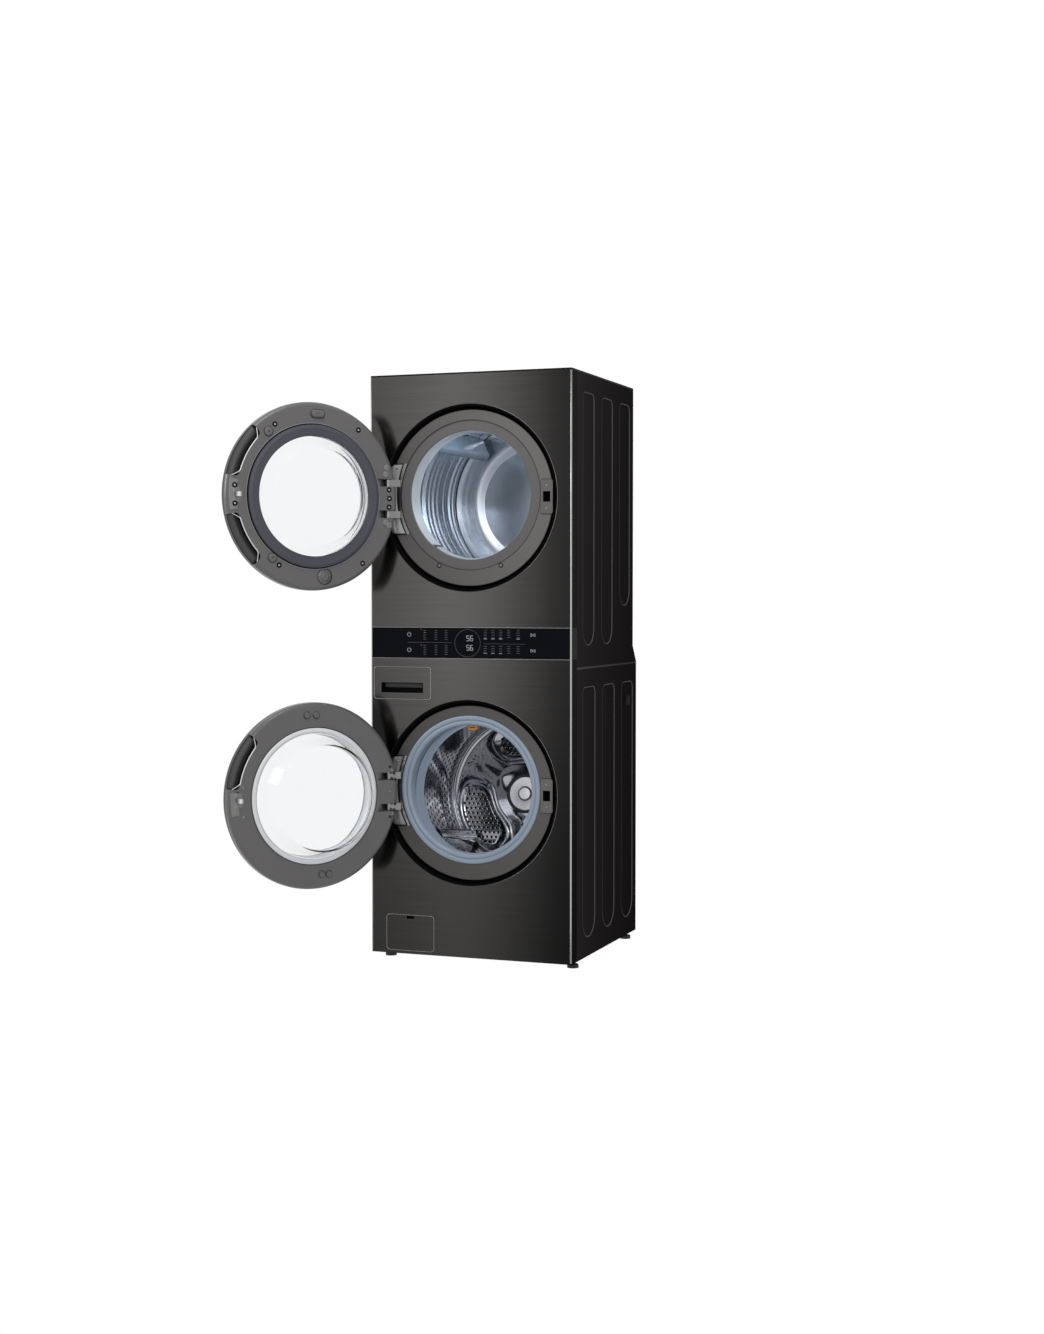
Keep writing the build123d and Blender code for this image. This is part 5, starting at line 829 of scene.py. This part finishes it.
LATCH_X = 0.259
PLATE_X = -0.250
SCREWS_Z = 1.2785
channel = mm((296.4, -1.5), (296.4, -1.9), (288.9, -1.9), (288.9, 21.2), (279.9, 21.2), (279.9, 9.6),
             (279.3, 9.6), (279.3, 21.7), (289.4, 21.7), (289.4, -1.5))
rim = mm((297.9, -1.4), (297.6, -2.0), (296.8, -2.2), (296.2, -1.8), (296.2, -1.4))
for title, height in RINGS.items():
    skin(title + "_ring_groove", turned(channel, height, 160), "ring_plastic", "shadow_black")
    skin(title + "_ring_rim", turned(rim, height, 160), "ring_plastic", "rim_steel")
joint = mm((236.6, 8.6), (236.6, 5.6), (237.8, 5.6), (237.8, 8.6))
skin("mouth_joint", turned(joint, DRYER_MOUTH, 160), "ring_plastic", "shadow_black")
screw_spots = {
    "hinge_plate_screws": [(PLATE_X, FRONT + 0.0023, z + s * 0.098) for z in RINGS.values() for s in (-1, 1)],
    "latch_screws": [(LATCH_X, FRONT + 0.003, z + s * 0.036) for z in RINGS.values() for s in (-1, 1)],
    "ring_screws": [(s * 0.105, FRONT + 0.006, SCREWS_Z) for s in (-1, 1)],
}
for title, spots in screw_spots.items():
    skin(title, placed(screw_head, spots), "fitting_steel", columns=False)
plates = [hinge_cover(*pair) for pair in ((WASHER_RING, WASHER_MOUTH), (DRYER_RING, DRYER_MOUTH))]
skin("hinge_covers", [capped(plate) for plate in plates], "fitting_steel", "plate_paint", rows=False)
pockets = [tray(247.2, 270.8, z * 1000 - 16.3, z * 1000 + 16.3, 3.2, 32, 0.5) for z in RINGS.values()]
skin("latch_pockets", pockets, "latch_plastic", "shadow_black", rows=False)
skin("ring_screw_shades", placed(screw_seat, screw_spots["ring_screws"]), "ring_plastic", "black_rubber",
     columns=False)

# %% [markdown]
# ## Doors, seen from behind
# The open doors show their inner frames: finger pockets with a painted highlight along their rims and floors
# painted dark for the shade in them, rubber bumpers, screws and bosses. They are placed as on a shut door and
# then swung open together.

# %% Finger pockets
PULL_RIM, PULL_DROP, LINE_R = 0.2880, 0.0308, 0.0019


def pocket_line(height, start, stop):
    """A thin round line of painted highlight along the pocket's edge: r falls from the rim to the pocket's
    floor and back over a few degrees at each end, so the ends curve like an S."""
    way = np.linspace(0, 1, 64)
    span = stop - start + 5
    angle = np.radians(start - 2.5 + way * span)
    ease = smooth(np.minimum(way, 1 - way) * span / 7.5)
    radius = PULL_RIM - PULL_DROP * ease
    round_ = circle(8)
    thick = LINE_R * np.minimum(1, np.minimum(way, 1 - way) * 40)
    away = radius[:, None] + thick[:, None] * np.cos(round_)
    deep = FRONT - 0.0030 - 0.004 * (1 - ease)[:, None] + thick[:, None] * np.sin(round_)
    return join(away * np.cos(angle)[:, None], deep, height + away * np.sin(angle)[:, None])


def on_door(title, shape, slot, look, **more):
    """Swings a piece of a shut door open. It rides on the door that its name starts with."""
    skin(title, swing(np.asarray(shape)), slot, look, title.split("_")[0] + "_door", **more)


# The pocket floors are painted dark for the shade inside the pockets.
floor_section = mm((256, -21), (290.6, -21), (290.6, -19), (256, -19))
pad_section = eased(mm((258, -3.4), (285, -3.4), (285, -1.7), (258, -1.7)))
pulls = {"dryer": [(12, 47), (-47, -12)], "washer": [(7, 43)]}
for door, spans in pulls.items():
    height = RINGS[door]
    lines = [capped(pocket_line(height, *span)) for span in spans]
    floors = [capped(turned(floor_section, height, 40, *np.radians(span))) for span in spans]
    pad = capped(turned(pad_section, height, 40, *np.radians((-10, 10 if door == "dryer" else 5))))
    on_door(door + "_pocket_lines", lines, "door_grey", "pocket_highlight_white", rows=False)
    on_door(door + "_pocket_floors", floors, "door_grey", "pocket_floor_shade", rows=False)
    on_door(door + "_latch_pad", pad, "door_grey", "pad_grey", rows=False)

# %% [markdown]
# Bumpers, bosses and screws are small turned shapes, repeated where the frame carries them. A dark disc under
# each stands for the shade round its foot, and a dark disc in each of the washer door's open holes is
# painted shade.

# %% Bumpers, bosses and screws on the doors
BACK = -0.003
PAD_BACK = -0.0017
facing = np.array([1.0, -1.0, 1.0])
head_out, seat_out = screw_head * facing, screw_seat * facing
bumper = knob(eased(mm((0, -3), (0, 8.6), (9, 8.6), (13.6, 7.4), (15, 3), (22, 2.4), (25, -3)), 1), 28)
pill = knob(eased(mm((0, -3), (0, 8.5), (7, 8.5), (10.5, 7), (12.6, 1.5), (14, -3)), 1), 24, 0.011)
stud = knob(eased(mm((0, -3), (0, 5.8), (7, 5.8), (10, 4.8), (11.2, -3)), 1), 20)
boss_shade = knob(mm((0, 0.3), (16.4, 0.3), (17, -0.4), (0, -0.4)), 24)
pill_shade = knob(mm((0, 0.3), (15, 0.3), (15.6, -0.4), (0, -0.4)), 24, 0.011)
dryer_spots = {
    "screws": [(255, 59), (263, 126), (246, -61), (267, -129), (264, 174), (264, 180), (264, -174)],
    "bosses": [(248, 52), (239, -53.6)],
    "pairs": [(262, 163), (272, 159), (262, -163), (276, -162)],
    "pill": [(257, 93)],
    "bumper": [(252, -98)],
}
washer_spots = {
    "screws": [(281, 165.5), (264, 180), (281, -165.5), (247, 9), (247, -12), (255, 11)],
    "holes": [(262, 5), (262, -8), (275, 163), (284, 168), (284, 172), (284, -172), (284, -168), (275, -163)],
    "studs": [(254, 91), (256, 84), (249, -95), (253, -100.5)],
}
dryer_at = {part: around(DRYER_RING, BACK, spots) for part, spots in dryer_spots.items()}
washer_at = {part: around(WASHER_RING, BACK, spots) for part, spots in washer_spots.items()}
dryer_heads = np.concatenate([dryer_at["screws"], around(DRYER_RING, PAD_BACK, [(267, 6), (267, -6)])])
door_fits = (
    ("dryer_door_screws", head_out * 0.9, dryer_heads, "bright_steel_and_highlight"),
    ("dryer_door_seats", seat_out, dryer_heads, "shadow_black"),
    ("dryer_door_bosses", boss * facing, dryer_at["bosses"], "door_grey"),
    ("dryer_door_boss_rings", boss_shade, dryer_at["bosses"], "dark_plastic"),
    ("dryer_door_pairs", small_boss * facing, dryer_at["pairs"], "pad_grey"),
    ("dryer_door_pill", pill, dryer_at["pill"], "door_grey"),
    ("dryer_door_pill_ring", pill_shade, dryer_at["pill"], "dark_plastic"),
    ("dryer_door_bumper", bumper, dryer_at["bumper"], "door_grey"),
    ("dryer_door_bumper_ring", boss_shade * 1.6, dryer_at["bumper"], "dark_plastic"),
    ("washer_door_screws", head_out, washer_at["screws"], "fitting_steel"),
    ("washer_door_holes", seat_out * 0.6, washer_at["holes"], "black_rubber"),
    ("washer_door_studs", stud, washer_at["studs"], "door_grey"),
    ("washer_door_stud_rings", boss_shade * 0.75, washer_at["studs"], "dark_plastic"),
)
for title, shape, spots, look in door_fits:
    slot = "fitting_steel" if title.endswith("screws") else "door_grey"
    on_door(title, placed(shape, spots), slot, look, columns=False)

# %% [markdown]
# The glass itself is turned too. A bowl is a flat dome, a rounded edge, a slope and a flat rim, 4 mm thick;
# a window is a shallow dome. Both meet the axis level, so no dimple shows in the middle.

# %% Glass


def bent(corners, times=3):
    """Rounds an open chain by cutting corners, and keeps both ends."""
    for _ in range(times):
        first, last = corners[:-1], corners[1:]
        cut = np.stack([0.75 * first + 0.25 * last, 0.25 * first + 0.75 * last], axis=1)
        corners = np.concatenate([corners[:1], cut.reshape(-1, 2), corners[-1:]])
    return corners


def dome(stop, level, crown, edge):
    """Depth = level + crown * (1 - (r / edge)^2), from the axis to a radius."""
    radius = np.linspace(0, stop, 14) / 1000
    return join(radius, level / 1000 + crown / 1000 * (1 - (radius * 1000 / edge) ** 2))


def bowl(edge, shoulder, foot, deep):
    """The bowl's chain: outside from the axis to the rim, then back along the inside, all in mm."""
    run = np.array([foot - shoulder, deep + 3.0]) / np.hypot(foot - shoulder, deep + 3.0)
    outside = bent(mm((foot - 22, deep), (foot, deep), np.array([foot, deep]) - 18 * run))
    shoulder_out = bent(mm(np.array([shoulder, -3]) + 4 * run, (shoulder, -3), (shoulder + 4, -3)))
    shoulder_in = bent(mm((shoulder, -7), (shoulder - 4.4, -7), np.array([shoulder - 4.4, -7]) + 4 * run))
    inner = np.array([foot - 4.4, deep - 4])
    inside = bent(mm(inner - 16 * run, inner, (foot - 24, deep - 4)))
    return np.concatenate([dome(foot - 24, deep, 5, foot - 24), outside, shoulder_out,
                           mm((edge, -3), (edge, -7)), shoulder_in, inside,
                           dome(foot - 26, deep - 4, 5, foot - 26)[::-1]])


pane = np.concatenate([dome(199.7, -49, -6, 199.7), mm((199.7, -45)), dome(188, -45, -6, 188)[::-1]])
bowls = {"washer": (214.7, 197, 165, 78), "dryer": (222.7, 183, 150, 34)}
for door, sizes in bowls.items():
    for part, profile, node in (("_door_bowl", bowl(*sizes), "glass"), ("_door_pane", pane, "window")):
        on_door(door + part, turned(profile, RINGS[door], 120), "door_" + node, None, columns=False,
                hides=[door + "_door_" + node])

# %% [markdown]
# The glass of the washer's door ends in a broad pale rim, a dark line parts it from the frame, and a pale
# trim closes the gap between the two halves of each door behind the glass. On the dryer's door a line painted
# shadow black lies round the seal, with a painted highlight on the frame's bevel beyond it. All are turned
# rings.

# %% Rings on the doors
door_rings = (
    ("washer_door_glass_rim", ((197.8, -3.2), (197.8, -2.6), (205, -2.2), (214, -2.5), (214.4, -3.2)),
     "glass_white"),
    ("washer_door_glass_line", ((214.6, -3.2), (214.6, -2.5), (217.6, -2.5), (217.6, -3.2)), "dark_plastic"),
    ("washer_door_trim", ((190.4, -41.6), (204.6, -7.4), (205.4, -7.2), (191.4, -41.9)), "glass_white"),
    ("dryer_door_seal_line", ((222.9, -3.2), (222.9, -2.4), (225.6, -2.4), (225.6, -3.2)), "shadow_black"),
    ("dryer_door_bevel", ((225.8, -3.2), (226.2, -2.0), (228.8, -2.2), (229.2, -3.2)), "pad_grey"),
    ("dryer_door_trim", ((190.4, -41.6), (212.6, -7.4), (213.4, -7.2), (191.4, -41.9)), "glass_white"),
)
for title, profile, look in door_rings:
    on_door(title, turned(mm(*profile), RINGS[title.split("_")[0]], 144), "door_grey", look)

# %% [markdown]
# ## Signs on the control strip
# The touch glass is lit from behind: a round display with two pairs of numbers, a sign for power and one for
# start on each machine, and rows of small marks. Each is a set of thin flat strokes on the glass.

# %% Strokes and signs


def strokes(name, lines, width, look):
    """Flat bars along lines of (x0, z0, x1, z1) in mm: four corners round each line's ends, a third of a
    millimetre thick, closed by a point at either end."""
    ends = np.array(lines, float) / 1000
    start, stop = ends[:, :2], ends[:, 2:]
    way = stop - start
    way = way / np.linalg.norm(way, axis=1, keepdims=True)
    side = join(-way[:, 1], way[:, 0]) * width / 2000
    rings = []
    for middle, grow in ((start, 0.0), (start, 1.0), (stop, 1.0), (stop, 0.0)):
        corners = [(middle + grow * turn * side, deep) for turn, deep in ((-1, 1), (1, 1), (1, 0), (-1, 0))]
        row = [join(c[:, 0], FRONT - 0.00035 + grow * d * 0.0003, c[:, 1]) for c, d in corners]
        rings.append(np.stack(row, axis=1))
    skin(name, np.stack(rings, axis=1), "strip_glass", look, rows=False)


def arc(x, z, radius, start, stop, steps):
    """Short lines along an arc, angles in degrees."""
    angle = np.radians(np.linspace(start, stop, steps + 1))
    spots = join(x + radius * np.cos(angle), z + radius * np.sin(angle))
    return np.concatenate([spots[:-1], spots[1:]], axis=1).tolist()


def digit(number, x, z, tall):
    """The lit bars of a seven-bar numeral: each bar joins two corners of a figure eight."""
    wide, half = tall * 0.52, tall / 2
    corners = [(0, tall), (wide, tall), (0, half), (wide, half), (0, 0), (wide, 0)]
    bars = [(0, 1), (1, 3), (3, 5), (4, 5), (2, 4), (0, 2), (2, 3)]
    lit = {5: "02356", 6: "023456"}[number]
    ends = [(corners[a], corners[b]) for a, b in (bars[int(i)] for i in lit)]
    return [(x + a[0], z + a[1], x + b[0], z + b[1]) for a, b in ends]


UPPER_ROW, LOWER_ROW = 1058.5, 1009
numerals = []
for row in (1039, 1009):
    for step, number in enumerate((5, 6)):
        numerals += digit(number, -9 + 12.5 * step, row, 16.0)
strokes("display_numerals", numerals, 1.7, "lit_white")
strokes("display_ring", arc(-6, 1031.5, 43.5, 0, 360, 72), 0.9, "dim_white")
signs = []
for z in (UPPER_ROW, LOWER_ROW):
    signs += arc(-207.7, z, 6.2, 125, 415, 20) + [(-207.7, z + 2.0, -207.7, z + 8.0)]
    signs += [(208, z - 5, 208, z + 5), (208, z + 5, 215.5, z), (215.5, z, 208, z - 5)]
    signs += [(x, z - 5, x, z + 5) for x in (218.5, 222.0)]
strokes("power_and_start_signs", signs, 1.2, "lit_white")
strokes("divider_lines", [(-212, 1032.8, -60, 1032.8), (48, 1030.5, 190, 1029.8)], 0.7, "dim_white")
left_marks, right_marks = (-158, -119, -84), (49, 75, 101, 128, 160)
mark_blocks = (
    (left_marks, 9, (1071, 1064, 1057, 1050, 1043)), (left_marks, 9, (1023, 1016, 1009, 1002, 995)),
    (right_marks, 11, (1072, 1065, 1058, 1051)), (right_marks, 11, (1022, 1015, 1008, 1001)),
)
bars = [(x, z, x + wide, z) for columns, wide, levels in mark_blocks for x in columns for z in levels]
strokes("program_marks", bars, 1.3, "dim_white")
chosen = [(x, 1046, x + 11, 1046) for x in (49, 75, 101, 160)]
chosen += [(x, 1000, x + 11, 1000) for x in (49, 75, 101)] + [(-157, 1064.3, -150, 1064.3)]
strokes("chosen_marks", chosen, 1.8, "lit_white")
strokes("red_marks", [(-167, z, -164, z) for z in (1074.9, 1024.3)], 2.4, "lit_red")

# %% [markdown]
# ## The drawer's grip
# The finger slot in the drawer front is a tray painted shadow black, and a grey plate hangs in its upper
# half.

# %% Drawer grip
grips = {
    "grip_tray": ((-305.9, -160.1, 870.6, 903.2, 0.3, 13.9, 0.5), "shadow_black"),
    "grip_plate": ((-296, -166, 887, 902.4, 10.0, 13.2, 1.5), "pan_paint"),
}
for title, (sizes, look) in grips.items():
    skin(title, tray(*sizes), "black_stainless", look, "drawer", rows=False)

# %% [markdown]
# ## Painted highlights and shadow lines on edges
# Where the wrapped corners of the front, the edges of the glass strip and the edges of the drawer and the
# filter flap catch the light, a thin bar of bright steel is a painted highlight. Round the hinge and latch
# plates a dark bar is a painted shadow line. Each is a thin round bar swept along its path.

# %% Painted highlights and shadow lines on edges


def edge_line(path, thick, depth=-0.0001):
    """A round bar along a closed path of (x, z) points in mm at a depth: the bar's circle is spread over
    the path's outward direction and the depth."""
    spots = np.array(path, float) / 1000
    way = np.roll(spots, -1, axis=0) - np.roll(spots, 1, axis=0)
    way = way / np.linalg.norm(way, axis=1, keepdims=True)
    out = join(way[:, 1], -way[:, 0])
    angle = circle(6)
    away = spots[:, None, :] + out[:, None, :] * (thick * np.cos(angle))[None, :, None]
    deep = FRONT + depth + thick * np.sin(angle)
    return join(away[..., 0], deep, away[..., 1])


def frame_path(x0, x1, z0, z1, corner, steps=6, foot=None):
    """A rectangle with round corners as (x, z) points in mm. The lower corners may have their own radius."""
    angle = np.radians(np.linspace(0, 90, steps))
    low = foot or corner
    rounds = [(x1 - corner, z1 - corner, corner), (x0 + corner, z1 - corner, corner),
              (x0 + low, z0 + low, low), (x1 - low, z0 + low, low)]
    sides = [join(x + r * np.cos(angle + i * TURN / 4), z + r * np.sin(angle + i * TURN / 4))
             for i, (x, z, r) in enumerate(rounds)]
    return np.concatenate(sides)


plate_edges = [np.concatenate([plate[:, 1], plate[::-1, 0]])[:, [0, 2]] * 1000 for plate in plates]
drawer_edge = edge_line(frame_path(-331.0, -134.0, 850.5, 953.0, 8.0), 0.0008)
flap_edge = edge_line(frame_path(-288.8, -123.7, 36.8, 152.2, 11.0), 0.0006)
strip_edges = [edge_line(frame_path(-338, 338, z - 0.3, z + 0.3, 0.25), 0.0003) for z in (982.3, 1081.2)]
latch_edges = [edge_line(frame_path(238.4, 279.6, z * 1000 - 54, z * 1000 + 54, 7), 0.0010, 0.0056)
               for z in RINGS.values()]
hinge_edges = [edge_line(edge, 0.0017, 0.0024) for edge in plate_edges]
thin_edges = (
    ("drawer_line", [drawer_edge], "black_stainless", "bright_steel_and_highlight"),
    ("flap_line", [flap_edge], "black_stainless", "bright_steel_and_highlight"),
    ("strip_lines", strip_edges, "strip_glass", "bright_steel_and_highlight"),
    ("latch_lines", latch_edges, "latch_plastic", "shadow_black"),
    ("hinge_lines", hinge_edges, "fitting_steel", "shadow_black"),
)
for title, loops, slot, look in thin_edges:
    skin(title, loops, slot, look)


CORNER_X, CORNER_DEEP = 0.337, 0.006


def corner_highlight(side):
    """A painted highlight a third of a millimetre thick on the wrapped corner: an arc of 6 mm carried up the
    cabinet.
    """
    angle = np.radians(np.linspace(26, 78, 8))
    inner, outer = 0.00605, 0.00640
    loop = np.concatenate([join(r * np.cos(a), r * np.sin(a))
                           for r, a in ((inner, angle), (outer, angle[::-1]))])
    levels = np.array([0.030, 0.500, 0.981, 1.082, 1.500, 1.882])[:, None]
    return capped(join(side * (CORNER_X + loop[:, 0]), FRONT + CORNER_DEEP - loop[:, 1], levels))


skin("corner_highlights", [corner_highlight(s) for s in (-1, 1)], "black_stainless", "bright_steel_and_highlight", rows=False)

# %% [markdown]
# ## The sides
# Each side has three pressed pockets on either machine. Light runs along their walls, so a thin bar of
# painted highlight lies on each. A dark plate of painted shadow stands for the slot in the washer's rear
# pocket.

# %% Edges of the pressed pockets


def on_side(loop, level):
    """Turns a line on the front into one on a side: what ran across runs deep, and what stood out from the
    front stands out from the level."""
    return join(level + loop[..., 1] - FRONT, FRONT + loop[..., 0], loop[..., 2])


def pocket_edge(middle, wide, foot, top):
    """The painted highlight on the pocket's wall, 2 mm inside its outline, with small upper corners and a
    half circle at the foot.
    """
    half = wide / 2 - 2
    path = frame_path(middle - half, middle + half, foot + 2, top - 2, 24, 10, 0.97 * half)
    return edge_line(path, 0.0018, 0.0)


POCKET_X, SLOT_X = 0.341, (0.3385, 0.3394)
washer_pockets = [(middle, 131.8, 86, 893) for middle in (175.2, 381.0, 586.8)]
dryer_feet = ((168.1, 1022.5), (361.0, 1022.5), (553.9, 1147.5))
dryer_pockets = [(middle, 118.9, foot, 1828) for middle, foot in dryer_feet]
edges = [pocket_edge(*pocket) for pocket in washer_pockets + dryer_pockets]
edges = [on_side(edge, level) for edge in edges for level in (-POCKET_X, POCKET_X)]
skin("pocket_edge_highlights", edges, "side_paint", "side_edge_highlight")
slot_corners = mm((556, 811), (632, 811), (632, 842), (556, 842))
slot_y, slot_z = FRONT + slot_corners[:, 0], slot_corners[:, 1]
slot_rows = [join(x, slot_y, slot_z) for x in SLOT_X]
skin("side_slot_shade", capped(np.stack(slot_rows)), "side_paint", "shadow_black", rows=False)
